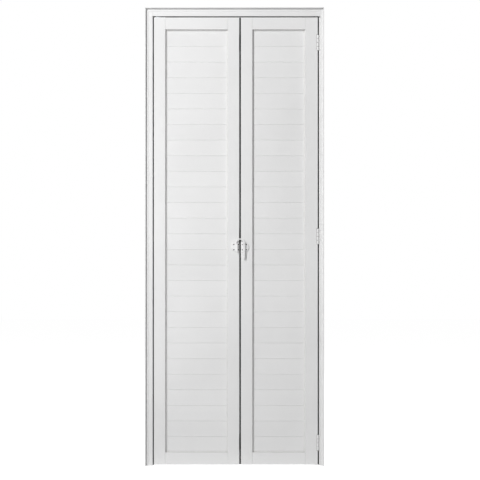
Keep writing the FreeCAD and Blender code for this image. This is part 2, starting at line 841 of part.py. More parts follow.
def end_caps(label, centre, width):
    """Moulded plugs, flush in both ends of each stile."""
    body = new_body(label, centre, z="leaf_middle")
    inset = "(leaf_wall + seam_gap)"
    solid(body, "XY_Plane", rectangle(
        f"{inset} - {width} / 2", inset,
        f"stile_face - {inset} - {width} / 2", f"leaf_depth - {inset}",
    ), "cap_length", "0 - leaf_height / 2")
    mirror(body, "YZ_Plane")
    mirror(body, "XY_Plane")
    return body


right_hinge_stile = stile("right_hinge_stile", "right_edge", -1, COVER_CORNER)
notches = sketch_on(right_hinge_stile, "XZ_Plane")
for rise in HINGE_RISES.values():
    half_notch = "(hinge_height / 2 + knuckle_gap)"
    outline(notches, rectangle(
        "0 - cover_reach - overrun", f"{rise} - floor_gap - {half_notch}",
        "0", f"{rise} - floor_gap + {half_notch}",
    ), -1)
cut(right_hinge_stile, notches)
right_fold_stile = stile("right_fold_stile", "latch_x", 1, PLAIN_CORNER)
stile("left_lead_stile", "left_edge", 1, PLAIN_CORNER)
left_fold_stile = stile("left_fold_stile", "keeper_x", -1, PLAIN_CORNER)
for side in ("right", "left"):
    centre = f"{side}_leaf_x"
    width = f"{side}_leaf_width"
    rail(f"{side}_top_rail", centre, width, "leaf_top - rail_face", -1)
    rail(f"{side}_bottom_rail", centre, width, "floor_gap", 1)
    corner_blocks(f"{side}_corner_blocks", centre, width)
    corner_screws(f"{side}_corner_screws", centre, width)
    planks(f"{side}_planks", centre, width)
    beads(side, centre, width)
end_caps("right_end_caps", "right_leaf_x", "right_leaf_width")
left_end_caps = end_caps("left_end_caps", "left_leaf_x", "left_leaf_width")

# Fold gasket: a tapered black rubber strip on the right leaf's edge that fills the fold's gap

fold_gasket = new_body("fold_gasket", "latch_x", z="floor_gap")
fold_gasket_end = "fold_gasket_back + fold_gasket_depth"
fold_gasket_tip = "0 - fold_gap + gasket_clear"
solid(fold_gasket, "XY_Plane", [
    ("0 - seam_gap", "fold_gasket_back"),
    ("0 - seam_gap", fold_gasket_end),
    ("0 - fold_gasket_base", fold_gasket_end),
    (fold_gasket_tip, f"{fold_gasket_end} - fold_gasket_depth / 3"),
    (fold_gasket_tip, "fold_gasket_back + fold_gasket_depth / 3"),
    ("0 - fold_gasket_base", "fold_gasket_back"),
], "leaf_height")

# Hinges: a hinge's two flaps take turns along the row of knuckles, and one pin runs through them


def flap(label, x, depth, rise, knuckles, side, way, lean, tab_reach, low_first):
    """A hinge flap about its axis, with every other knuckle. side is the flap's side of the axis,
    way the direction it runs back or forward, and lean how far the plate stands off the axis."""
    body = new_body(label, x, f"front + {depth}", f"{rise} - hinge_height / 2")
    height = f"hinge_height / {knuckles}"
    relief = "knuckle_radius + flap_relief"
    spans = [
        (f"{index} * {height}", f"{index + 1} * {height} - knuckle_gap")
        for index in range(0 if low_first else 1, SIZES[knuckles], 2)
    ]
    comb = [("flap_reach", "hinge_height"), ("flap_reach", "0")]
    for bottom, top in spans:
        starts_at_end = low_first and bottom == spans[0][0]
        comb += [] if starts_at_end else [(relief, bottom)]
        comb += [(tab_reach, bottom), (tab_reach, top), (relief, top)]
    comb += [(relief, "hinge_height")]
    if not low_first:
        comb.insert(2, (relief, "0"))
    plate_from = lean if side > 0 else f"0 - ({lean}) - flap_thickness"
    solid(body, "YZ_Plane", comb, "flap_thickness", plate_from, way)
    for bottom, top in spans:
        knuckle = sketch_on(body, "XY_Plane", bottom)
        circles(knuckle, [("0", "0")], "knuckle_radius")
        pad(body, knuckle, f"{height} - knuckle_gap")
    drill(body, "XY_Plane", "0", [("0", "0")], "hinge_pin_radius + running_fit")
    holes = [
        (f"{way} * flap_screw_reach", f"hinge_height / 2 + {end} * flap_screw_spacing / 2")
        for end in (-1, 1)
    ]
    screw_holes(body, "YZ_Plane", f"{plate_from} + flap_thickness / 2", holes,
                "screw_hole", "2 * flap_thickness")


def hinge_pins(label, x, depth):
    """The pins of one line of hinges."""
    pins = []
    for rise in HINGE_RISES.values():
        foot = Vector(number(x), number(depth), number(f"{rise} - hinge_height / 2"))
        pins.append(Part.makeCylinder(number("hinge_pin_radius"), number("hinge_height"), foot))
    feature = doc.addObject("Part::Feature", label)
    feature.Label = label
    feature.Shape = Part.makeCompound(pins)
    place(feature)
    parts.append(feature)


jamb_lean = "axis_clear - flap_thickness"
fold_lean = "fold_gap / 2 - flap_thickness"
for level, rise in HINGE_RISES.items():
    for name, side, low_first in (("frame", 1, True), ("leaf", -1, False)):
        flap(f"{level}_jamb_hinge_{name}_flap", "hinge_x", "hinge_set_back", rise, "jamb_knuckles",
             side, 1, jamb_lean, "0", low_first)
    for name, side, low_first in (("right", 1, True), ("left", -1, False)):
        flap(f"{level}_fold_hinge_{name}_flap", "fold_x", "fold_y", rise, "fold_knuckles",
             side, -1, fold_lean, "fold_tab_reach", low_first)
hinge_pins("jamb_hinge_pins", "hinge_x", "hinge_set_back")
hinge_pins("fold_hinge_pins", "fold_x", "fold_y")

jamb_screw_back = "hinge_set_back + flap_screw_reach"
fold_screw_back = "fold_y - flap_screw_reach"
rises = flap_screw_rises()
frame_seat = f"hinge_x + {jamb_lean}"
leaf_seat = f"hinge_x - ({jamb_lean})"
fold_right_seat = f"fold_x + {fold_lean}"
fold_left_seat = f"fold_x - ({fold_lean})"
screws("jamb_hinge_frame_screws", "screw",
       [((frame_seat, jamb_screw_back, rise), RIGHTWARDS) for rise in rises])
screws("right_hinge_screws", "screw",
       [((leaf_seat, jamb_screw_back, rise), LEFTWARDS) for rise in rises]
       + [((fold_right_seat, fold_screw_back, rise), RIGHTWARDS) for rise in rises])
screws("left_hinge_screws", "screw",
       [((fold_left_seat, fold_screw_back, rise), LEFTWARDS) for rise in rises])
leaf_rises = flap_screw_rises("floor_gap")
for body, wall, back in (
    (right_hinge_stile, "0 - leaf_wall / 2", jamb_screw_back),
    (right_fold_stile, "leaf_wall / 2", fold_screw_back),
    (left_fold_stile, "0 - leaf_wall / 2", fold_screw_back),
):
    screw_holes(body, "YZ_Plane", wall, [(back, rise) for rise in leaf_rises],
                "screw_hole", "2 * leaf_wall")

# Guide: a bracket on the lead stile carries a pin, and a nylon wheel turns on it in the track

bracket = new_body("guide_bracket", "guide_x", z="leaf_top")
bracket_right = "bracket_overlap"
bracket_left = "bracket_overlap - bracket_length"
solid(bracket, "XY_Plane", rectangle(
    bracket_left, "edge_break", bracket_right, "edge_break + bracket_depth",
), "bracket_thickness")
drill(bracket, "XY_Plane", "0", [("0", "hinge_set_back")], "guide_pin_radius + running_fit")
bracket_screw_runs = ("0 - bracket_screw_gap", "0 - 2 * bracket_screw_gap")
bracket_holes = [(run, "leaf_depth / 2") for run in bracket_screw_runs]
screw_holes(bracket, "XY_Plane", "0", bracket_holes, "screw_hole")
cap_holes = [(f"guide_x - left_leaf_x + {run}", "leaf_depth / 2") for run in bracket_screw_runs]
screw_holes(left_end_caps, "XY_Plane", "leaf_height / 2", cap_holes, "screw_hole", "2 * screw_length")
screws("guide_bracket_screws", "screw", [
    ((f"guide_x + {run}", "leaf_depth / 2", "leaf_top + bracket_thickness"), DOWNWARDS)
    for run in bracket_screw_runs
])

wheel_bottom = "track_bottom + wheel_lift"
pin = new_body("guide_pin", "guide_x", "front + hinge_set_back", "leaf_top")
shaft = sketch_on(pin, "XZ_Plane")
collar_top = f"{wheel_bottom} - leaf_top - running_fit"
shaft_top = f"{wheel_bottom} - leaf_top + wheel_height + running_fit"
outline(shaft, [
    ("0", "0"),
    ("guide_pin_radius", "0"),
    ("guide_pin_radius", "bracket_thickness"),
    ("guide_collar_radius", "bracket_thickness"),
    ("guide_collar_radius", collar_top),
    ("guide_pin_radius", collar_top),
    ("guide_pin_radius", shaft_top),
    ("guide_head_radius", shaft_top),
    ("guide_head_radius", f"{shaft_top} + guide_head_height"),
    ("0", f"{shaft_top} + guide_head_height"),
])
turned = pin.newObject("PartDesign::Revolution", "guide_pin_turned")
turned.Profile = shaft
turned.ReferenceAxis = (shaft, ["V_Axis"])
pin.Tip = turned
doc.recompute()

wheel = new_body("guide_wheel", "guide_x", "front + hinge_set_back", wheel_bottom)
tyre = sketch_on(wheel, "XY_Plane")
circles(tyre, [("0", "0")], "wheel_radius")
circles(tyre, [("0", "0")], "guide_pin_radius + running_fit")
pad(wheel, tyre, "wheel_height")

# Latch: a plate on the right leaf, a keeper on the left leaf and a hooked lever between them


def rounded(body, radius, chosen):
    """Round the corners of a plate's outline that stand on chosen sides of its box."""
    box = body.Tip.Shape.BoundBox
    near = Part.Precision.confusion()
    edges = []
    for index, edge in enumerate(body.Tip.Shape.Edges, start=1):
        first, last = (vertex.Point for vertex in edge.Vertexes)
        along_depth = abs(first.x - last.x) + abs(first.z - last.z) < near
        if along_depth and chosen(first, box, near):
            edges.append(f"Edge{index}")
    if not edges:
        raise RuntimeError(f"{body.Label}: no corner to round")
    blank = body.Tip
    feature = body.newObject("PartDesign::Fillet", f"{body.Name}_corners")
    feature.Base = (blank, edges)
    feature.setExpression("Radius", bound(radius))
    body.Tip = feature
    doc.recompute()


def plate_screw_places(sign, inset):
    """The centres of a latch plate's four screws, from the leaf's edge and the plate's middle."""
    return [
        (f"{sign} * {run}", f"{end} * plate_screw_spacing / 2")
        for run in (inset, "plate_screw_outset")
        for end in (-1, 1)
    ]


plate_near = "edge_break"
plate_far = "edge_break + plate_width"
plate_half = "plate_height / 2"
plate = new_body("latch_plate", "latch_x", z="latch_rise")
solid(plate, "XZ_Plane", rectangle(plate_near, f"0 - {plate_half}", plate_far, plate_half), "plate_thickness")
rounded(plate, "plate_end_radius", lambda corner, box, near: abs(corner.x - box.XMax) < near)
rounded(plate, "plate_corner", lambda corner, box, near: abs(corner.x - box.XMin) < near)
plate_centres = plate_screw_places(1, "plate_screw_inset")
boss = sketch_on(plate, "XZ_Plane", "plate_thickness")
circles(boss, [("pivot_inset", "pivot_lift")], "boss_radius")
pad(plate, boss, "boss_height")
drill(plate, "XZ_Plane", "plate_thickness + boss_height", [("pivot_inset", "pivot_lift")],
      "pivot_radius + running_fit", "2 * boss_height")

keeper = new_body("latch_keeper", "keeper_x", z="latch_rise")
solid(keeper, "XZ_Plane", [
    (plate_near, f"0 - {plate_half}"),
    (f"{plate_far} - keeper_slant_width", f"0 - {plate_half}"),
    (plate_far, f"keeper_slant_height - {plate_half}"),
    (plate_far, plate_half),
    (plate_near, plate_half),
], "plate_thickness", sign=-1)
rounded(keeper, "keeper_end_radius", lambda corner, box, near: abs(corner.x - box.XMin) < near)
rounded(keeper, "plate_corner", lambda corner, box, near: abs(corner.x - box.XMax) < near)
keeper_centres = plate_screw_places(-1, "keeper_screw_inset")
catch_top = "hook_z - latch_rise - catch_clear"
solid(keeper, "XZ_Plane", rectangle(
    "catch_x - keeper_x", f"{catch_top} - catch_height",
    "catch_x - keeper_x + catch_width", catch_top,
), "catch_depth", "plate_thickness")

for label, body, edge, leaf_stile, centres in (
    ("latch_plate_screws", plate, "latch_x", right_fold_stile, plate_centres),
    ("latch_keeper_screws", keeper, "keeper_x", left_fold_stile, keeper_centres),
):
    screw_holes(body, "XZ_Plane", "plate_thickness / 2", centres, "plate_screw_hole", "2 * plate_thickness")
    holes = [(across, f"{up} + latch_rise - floor_gap") for across, up in centres]
    screw_holes(leaf_stile, "XZ_Plane", "0 - leaf_wall / 2", holes, "plate_screw_hole", "2 * leaf_wall")
    places = [((f"{edge} + {across}", "0 - plate_thickness", f"latch_rise + {up}"), BACKWARDS)
              for across, up in centres]
    screws(label, "plate_screw", places)

pivot = new_body("latch_pivot", "pivot_x", z="pivot_z")
stem_length = "boss_height + lever_gap + lever_thickness + lever_gap"
stem = sketch_on(pivot, "XZ_Plane", "plate_thickness")
circles(stem, [("0", "0")], "pivot_radius")
pad(pivot, stem, stem_length)
pivot_head = sketch_on(pivot, "XZ_Plane", f"plate_thickness + {stem_length}")
circles(pivot_head, [("0", "0")], "pivot_head_radius")
pad(pivot, pivot_head, "pivot_head_height")


def round_bar(name, radius, x, z, angle=360):
    """A round bar through the lever's thickness, standing towards the viewer."""
    bar = doc.addObject("Part::Cylinder", name)
    bar.setExpression("Radius", bound(radius))
    bar.setExpression("Height", bound("lever_thickness"))
    bar.Angle = angle
    bar.Placement.Rotation = Rotation(Vector(1, 0, 0), 90)
    place(bar, x, "front - lever_back", z)
    return bar


hook_rim = round_bar("hook_rim", "hook_radius + hook_width / 2", "fold_x", "hook_z", 180)
hook_bore = round_bar("hook_bore", "hook_radius - hook_width / 2", "fold_x", "hook_z", 180)
hook = doc.addObject("Part::Cut", "hook")
hook.Base = hook_rim
hook.Tool = hook_bore
hub = round_bar("hub", "lever_hub_radius", "pivot_x", "pivot_z")

arm = doc.addObject("PartDesign::Body", "arm")
place(arm, "pivot_x", z="pivot_z")
solid(arm, "XZ_Plane", [
    ("0 - lever_top_width / 2", "0"),
    ("lever_top_width / 2", "0"),
    ("lever_tip_width / 2", "0 - lever_length"),
    ("0 - lever_tip_width / 2", "0 - lever_length"),
], "lever_thickness", "lever_back")
lever_blank = doc.addObject("Part::MultiFuse", "lever_blank")
lever_blank.Shapes = [hook, hub, arm]
lever_bore = round_bar("lever_bore", "pivot_radius + running_fit", "pivot_x", "pivot_z")
lever = doc.addObject("Part::Cut", "latch_lever")
lever.Base = lever_blank
lever.Tool = lever_bore
lever.Label = "latch_lever"
parts.append(lever)

# Check every piece and write it

doc.recompute()
for thing in doc.Objects:
    if "Invalid" in thing.State or "Error" in thing.State:
        raise RuntimeError(f"{thing.Label} did not compute: {thing.State}")
for piece in parts:
    if piece.Shape.isNull() or not piece.Shape.isValid() or not piece.Shape.Solids:
        raise RuntimeError(f"{piece.Label} has no valid solid")
os.makedirs("parts", exist_ok=True)
for piece in parts:
    piece.Shape.exportStep(os.path.join("parts", f"{piece.Label}.step"))
print(f"{len(parts)} pieces written")
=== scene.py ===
"""Looks of a framed bifold door in white powder-coated aluminium."""

import json
from math import radians, tau

import bmesh
import bpy
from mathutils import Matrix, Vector

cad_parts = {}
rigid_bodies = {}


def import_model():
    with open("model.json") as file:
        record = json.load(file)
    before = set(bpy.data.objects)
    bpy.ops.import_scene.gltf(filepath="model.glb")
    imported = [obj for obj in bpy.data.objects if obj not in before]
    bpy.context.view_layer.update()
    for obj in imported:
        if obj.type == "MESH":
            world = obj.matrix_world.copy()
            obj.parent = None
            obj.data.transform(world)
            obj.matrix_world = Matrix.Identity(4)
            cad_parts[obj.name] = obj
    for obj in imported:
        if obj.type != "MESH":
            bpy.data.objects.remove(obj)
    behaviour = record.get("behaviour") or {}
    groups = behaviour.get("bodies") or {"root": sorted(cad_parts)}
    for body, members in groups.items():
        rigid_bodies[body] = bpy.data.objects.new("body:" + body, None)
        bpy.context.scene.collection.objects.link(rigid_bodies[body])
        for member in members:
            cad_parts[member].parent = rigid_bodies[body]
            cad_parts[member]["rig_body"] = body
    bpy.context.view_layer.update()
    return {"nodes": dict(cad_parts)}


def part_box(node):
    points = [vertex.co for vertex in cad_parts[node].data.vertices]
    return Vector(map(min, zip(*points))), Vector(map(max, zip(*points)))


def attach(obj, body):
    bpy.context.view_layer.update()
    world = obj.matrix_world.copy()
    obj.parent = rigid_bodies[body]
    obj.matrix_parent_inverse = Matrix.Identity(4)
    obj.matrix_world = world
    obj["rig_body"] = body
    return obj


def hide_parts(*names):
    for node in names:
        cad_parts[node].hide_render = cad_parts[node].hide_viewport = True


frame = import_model()

# Head and jambs: one hollow aluminium extrusion, sawn to mitres at the top corners and powder
# coated white. The coat is satin, with the faint orange peel that the oven leaves. The jambs are
# drilled for wall fixings, with wider holes on the side of the opening to reach their heads.

MM = 0.001
COAT_WHITE = "F0F0F0"
# grey that the coat is darkened towards as painted shade in tight seams
PAINTED_SHADE_GREY = "B9B7B1"
COAT_ROUGHNESS = (0.34, 0.46)
COAT_IOR = 1.5
COAT_SEAM_SHADE = 0.55         # share of painted shade in the tightest seams
PEEL = 2.5 * MM          # width of one cell of the orange peel
PEEL_DEPTH = 0.03 * MM
PEEL_STRENGTH = 0.6
TONE_PATCH = 350 * MM    # slow drift of tone along a coated length
TONE_LOW = 0.95          # share of the white that is left where the drift is darkest
SPECKLE = 8 * MM         # patches in the painted seam shade and in the gloss
SEAM_REACH = 5 * MM      # how far the painted shade reaches from a seam
SEAM_OPEN = 0.85         # open share of the space around a point at which the painted shade begins
SEAM_TIGHT = 0.35        # open share at which the painted shade is full
NOISE_LOW = 0.3          # most of a noise lies between these two
NOISE_HIGH = 0.7
EDGE_ROUND = 0.8 * MM    # radius that the coat leaves on an extruded edge
NEAR_SAMPLES = 6         # samples for seams and soft edges
FIXING_ACCESS = 6 * MM   # radius of the hole in a jamb for the head of a wall fixing
HOLE_SLACK = 0.05 * MM   # how far a point may lie from its place and still count as there
HOLE_CUTS = 5            # points that are added to each side of a square hole
WELD = 0.002 * MM        # points closer than this are joined
FLAT = radians(1)        # faces at less than this angle lie in one plane


def linear(hex_colour):
    """An sRGB hex value as linear colour with full alpha."""
    parts = [int(hex_colour[i:i + 2], 16) / 255 for i in (0, 2, 4)]
    return tuple(p / 12.92 if p <= 0.04045 else ((p + 0.055) / 1.055) ** 2.4
                 for p in parts) + (1.0,)


def add(tree, kind, inputs=None, **settings):
    """Add a node with its settings. Each input gets a value, or a link from the socket given."""
    made = tree.nodes.new(kind)
    for name, value in settings.items():
        setattr(made, name, value)
    for key, value in (inputs or {}).items():
        if isinstance(value, bpy.types.NodeSocket):
            tree.links.new(value, made.inputs[key])
        else:
            made.inputs[key].default_value = value
    return made


FACTOR, COLOUR_A, COLOUR_B, COLOUR_OUT = 0, 6, 7, 2    # sockets of a Mix node set to colour


def new_material(name):
    """An empty node material, its tree, its Object coordinates and its shader."""
    material = bpy.data.materials.new(name)
    material.use_nodes = True
    tree = material.node_tree
    tree.nodes.clear()
    shader = add(tree, "ShaderNodeBsdfPrincipled")
    add(tree, "ShaderNodeOutputMaterial", {"Surface": shader.outputs[0]})
    where = add(tree, "ShaderNodeTexCoord").outputs["Object"]
    return material, tree, where, shader


def white_coat(name, white, roughness, edge_round, seam_shade_share, seam_reach, tone=None):
    """White powder coat: slow drift of tone, painted shade in seams, orange peel and soft edges.
    tone makes a share of extra darkening from the tree and its coordinates."""
    material, tree, where, shader = new_material(name)
    drift = add(tree, "ShaderNodeTexNoise",
                {"Vector": where, "Scale": 1 / TONE_PATCH, "Detail": 3.0})
    shade = add(tree, "ShaderNodeMapRange", {
        "Value": drift.outputs["Fac"], "From Min": NOISE_LOW, "From Max": NOISE_HIGH,
        "To Min": TONE_LOW, "To Max": 1.0,
    }).outputs[0]
    if tone is not None:
        shade = add(tree, "ShaderNodeMath", {0: shade, 1: tone(tree, where)},
                    operation="MULTIPLY").outputs[0]
    plain = add(tree, "ShaderNodeMix", {
        FACTOR: 1.0, COLOUR_A: linear(white), COLOUR_B: shade,
    }, data_type="RGBA", blend_type="MULTIPLY").outputs[COLOUR_OUT]
    # Painted shade: ambient occlusion darkens the coat towards grey in tight seams and corners,
    # broken into patches by a noise.
    seams = add(tree, "ShaderNodeAmbientOcclusion", {"Distance": seam_reach}, samples=NEAR_SAMPLES)
    speckle = add(tree, "ShaderNodeTexNoise",
                  {"Vector": where, "Scale": 1 / SPECKLE, "Detail": 4.0}).outputs["Fac"]
    seam_shade = add(tree, "ShaderNodeMapRange", {
        "Value": seams.outputs["AO"], "From Min": SEAM_OPEN, "From Max": SEAM_TIGHT,
        "To Min": 0.0, "To Max": seam_shade_share,
    }).outputs[0]
    seam_shade = add(tree, "ShaderNodeMath", {0: seam_shade, 1: speckle}, operation="MULTIPLY").outputs[0]
    coat = add(tree, "ShaderNodeMix", {
        FACTOR: seam_shade, COLOUR_A: plain, COLOUR_B: linear(PAINTED_SHADE_GREY),
    }, data_type="RGBA")
    peel = add(tree, "ShaderNodeTexNoise", {"Vector": where, "Scale": 1 / PEEL, "Detail": 1.0})
    soft_edge = add(tree, "ShaderNodeBevel", {"Radius": edge_round}, samples=NEAR_SAMPLES)
    bump = add(tree, "ShaderNodeBump", {
        "Height": peel.outputs["Fac"], "Distance": PEEL_DEPTH, "Strength": PEEL_STRENGTH,
        "Normal": soft_edge.outputs[0],
    })
    gloss = add(tree, "ShaderNodeMapRange", {
        "Value": speckle, "From Min": NOISE_LOW, "From Max": NOISE_HIGH,
        "To Min": roughness[0], "To Max": roughness[1],
    })
    tree.links.new(coat.outputs[COLOUR_OUT], shader.inputs["Base Color"])
    tree.links.new(gloss.outputs[0], shader.inputs["Roughness"])
    tree.links.new(bump.outputs[0], shader.inputs["Normal"])
    shader.inputs["IOR"].default_value = COAT_IOR
    return material


def finish_cad(material, *nodes):
    """Give CAD pieces their finish."""
    for node in nodes:
        for slot in frame["nodes"][node].material_slots:
            slot.material = material


def merged_copy(node):
    """A CAD piece's own mesh as a bmesh, with its loose triangles joined."""
    form = bmesh.new()
    form.from_mesh(frame["nodes"][node].data)
    bmesh.ops.remove_doubles(form, verts=form.verts, dist=WELD)
    return form


def new_piece(name, mesh):
    """A new object that holds a mesh."""
    piece = bpy.data.objects.new(name, mesh)
    bpy.context.scene.collection.objects.link(piece)
    return piece


def stand_for(piece, slot, *nodes):
    """Let a finished piece stand for CAD nodes of one body."""
    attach(piece, frame["nodes"][nodes[0]]["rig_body"])
    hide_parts(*nodes)


def coated_piece(name, form, node):
    """Turn a bmesh into a coated piece that stands for a CAD extrusion."""
    mesh = bpy.data.meshes.new(name)
    form.to_mesh(mesh)
    form.free()
    mesh.materials.append(extrusion_coat)
    stand_for(new_piece(name, mesh), "white_powder_coat", node)


def square_rims(form, radius):
    """The rims of a bmesh's square holes in faces that look along X, each as its four edges.
    The squares stand on a corner, so each edge runs a radius along Y and a radius along Z."""
    rims = {}
    for edge in form.edges:
        run = edge.verts[0].co - edge.verts[1].co
        if abs(run.x) < HOLE_SLACK and all(abs(abs(run[i]) - radius) < HOLE_SLACK for i in (1, 2)):
            rims[edge] = None
    while rims:
        rim, ahead = [], [rims.popitem()[0]]
        while ahead:
            edge = ahead.pop()
            rim.append(edge)
            for link in [link for vert in edge.verts for link in vert.link_edges]:
                if link in rims:
                    del rims[link]
                    ahead.append(link)
        if len(rim) == 4:
            yield rim


def bored_extrusion(node, radius):
    """A coated copy of a CAD extrusion with its square holes of one radius made round."""
    form = merged_copy(node)
    corners = {vert for rim in square_rims(form, radius) for edge in rim for vert in edge.verts}
    bmesh.ops.dissolve_edges(form, use_verts=False, edges=[
        edge for edge in form.edges if edge.calc_face_angle(0) < FLAT
        and all(vert in corners for face in edge.link_faces for vert in face.verts)])
    rims = list(square_rims(form, radius))
    centres = [sum((vert.co for edge in rim for vert in edge.verts), Vector()) / (2 * len(rim))
               for rim in rims]
    bmesh.ops.subdivide_edges(form, edges=[edge for rim in rims for edge in rim], cuts=HOLE_CUTS)
    for vert in form.verts:
        for centre in centres:
            off = vert.co - centre
            if abs(off.x) < HOLE_SLACK and off.length < radius:
                vert.co = centre + off * (radius / off.length)
    coated_piece(f"{node}_bored", form, node)


extrusion_coat = white_coat("white powder coat on aluminium", COAT_WHITE, COAT_ROUGHNESS,
                            EDGE_ROUND, COAT_SEAM_SHADE, SEAM_REACH)
finish_cad(extrusion_coat, "head")
for jamb in ("left_jamb", "right_jamb"):
    bored_extrusion(jamb, FIXING_ACCESS)

# Corner keys: cast aluminium angles pushed into the extrusions behind each mitre.
# As cast, so they are a dull grey metal with a sandy skin.

CAST_GREY = "A9AAAB"
CAST_SHADE = "8E8F92"
CAST_CLOUD = 12 * MM
CAST_GRAIN = 0.8 * MM
CAST_DEPTH = 0.1 * MM
CAST_ROUGHNESS = 0.55

cast_aluminium, tree, where, shader = new_material("cast aluminium")
grain = add(tree, "ShaderNodeTexNoise", {"Vector": where, "Scale": 1 / CAST_GRAIN, "Detail": 4.0})
cloud = add(tree, "ShaderNodeTexNoise", {"Vector": where, "Scale": 1 / CAST_CLOUD, "Detail": 2.0})
skin = add(tree, "ShaderNodeMix", {
    FACTOR: cloud.outputs["Fac"], COLOUR_A: linear(CAST_GREY), COLOUR_B: linear(CAST_SHADE),
}, data_type="RGBA")
bump = add(tree, "ShaderNodeBump", {"Height": grain.outputs["Fac"], "Distance": CAST_DEPTH})
tree.links.new(skin.outputs[COLOUR_OUT], shader.inputs["Base Color"])
tree.links.new(bump.outputs[0], shader.inputs["Normal"])
shader.inputs["Metallic"].default_value = 1.0
shader.inputs["Roughness"].default_value = CAST_ROUGHNESS
finish_cad(cast_aluminium, "left_corner_key", "right_corner_key")

# Corner key screws: zinc-plated steel with a domed cross-recess head and a rolled thread. Each
# is turned home to its own angle on the seat that the CAD gives it. The other screws of the
# door are made in the same way, and those of the latch differ only in their finish.

ZINC = "B7BABC"
ZINC_SHADE = "8F9397"
ZINC_ROUGHNESS = 0.32
PLATE_CLOUD = 5 * MM     # cloudy patches in the plating
PLATE_GRAIN = 0.4 * MM   # a real plated grain is finer and wouldn't show
PLATE_DEPTH = 0.02 * MM
PLATE_DULLING = 0.12     # added roughness in the dullest patches
THREAD_PITCH = 1.4 * MM
PLAIN_TURNS = 2.0        # pitches without a thread, at the point
HEAD_SIDES = 24
HEAD_RINGS = 12
SHANK_SIDES = 12
SLOT_LENGTH = 1.1        # recess slots, as shares of the head's radius
SLOT_WIDTH = 0.26
SLOT_MIDDLE = -0.9       # place of a slot's middle, as a share of the head's height
CORE_ROOT = 0.72         # core under the thread, as shares of the shank's radius
CORE_POINT = 0.35
RIB_TOP = 0.6            # narrow side of a thread's rib, as a share of the shank's radius
RIB_HEIGHT = 0.6         # as a share of the pitch
HEAD_SHARE = 0.8         # a CAD screw's points beyond this share of its radius are its head
TURN_MAX, TURN_OUT = 3, 1    # sockets of a Random Value node set to a number


def plated_steel(name, light, dark, roughness):
    """Plated steel: metal between two tones in cloudy patches, with a fine grain."""
    material, tree, where, shader = new_material(name)
    cloud = add(tree, "ShaderNodeTexNoise",
                {"Vector": where, "Scale": 1 / PLATE_CLOUD, "Detail": 3.0}).outputs["Fac"]
    grain = add(tree, "ShaderNodeTexNoise",
                {"Vector": where, "Scale": 1 / PLATE_GRAIN, "Detail": 2.0})
    plate = add(tree, "ShaderNodeMix", {
        FACTOR: cloud, COLOUR_A: linear(light), COLOUR_B: linear(dark),
    }, data_type="RGBA")
    gloss = add(tree, "ShaderNodeMapRange", {
        "Value": cloud, "From Min": NOISE_LOW, "From Max": NOISE_HIGH,
        "To Min": roughness, "To Max": roughness + PLATE_DULLING,
    })
    bump = add(tree, "ShaderNodeBump", {"Height": grain.outputs["Fac"], "Distance": PLATE_DEPTH})
    tree.links.new(plate.outputs[COLOUR_OUT], shader.inputs["Base Color"])
    tree.links.new(gloss.outputs[0], shader.inputs["Roughness"])
    tree.links.new(bump.outputs[0], shader.inputs["Normal"])
    shader.inputs["Metallic"].default_value = 1.0
    return material


zinc_plate = plated_steel("zinc-plated steel", ZINC, ZINC_SHADE, ZINC_ROUGHNESS)


def new_tree(name, result, sockets):
    """An empty geometry tree with named inputs and one geometry for its result."""
    tree = bpy.data.node_groups.new(name, "GeometryNodeTree")
    for socket, kind in sockets:
        tree.interface.new_socket(socket, in_out="INPUT", socket_type=f"NodeSocket{kind}")
    tree.interface.new_socket(result, in_out="OUTPUT", socket_type="NodeSocketGeometry")
    return tree


screw_tree = new_tree("cross_recess_screws", "Screws", (
    ("Seats", "Geometry"), ("Head radius", "Float"), ("Head height", "Float"),
    ("Shank radius", "Float"), ("Length", "Float"), ("Pitch", "Float"),
    ("Seed", "Int"), ("Finish", "Material"),
))


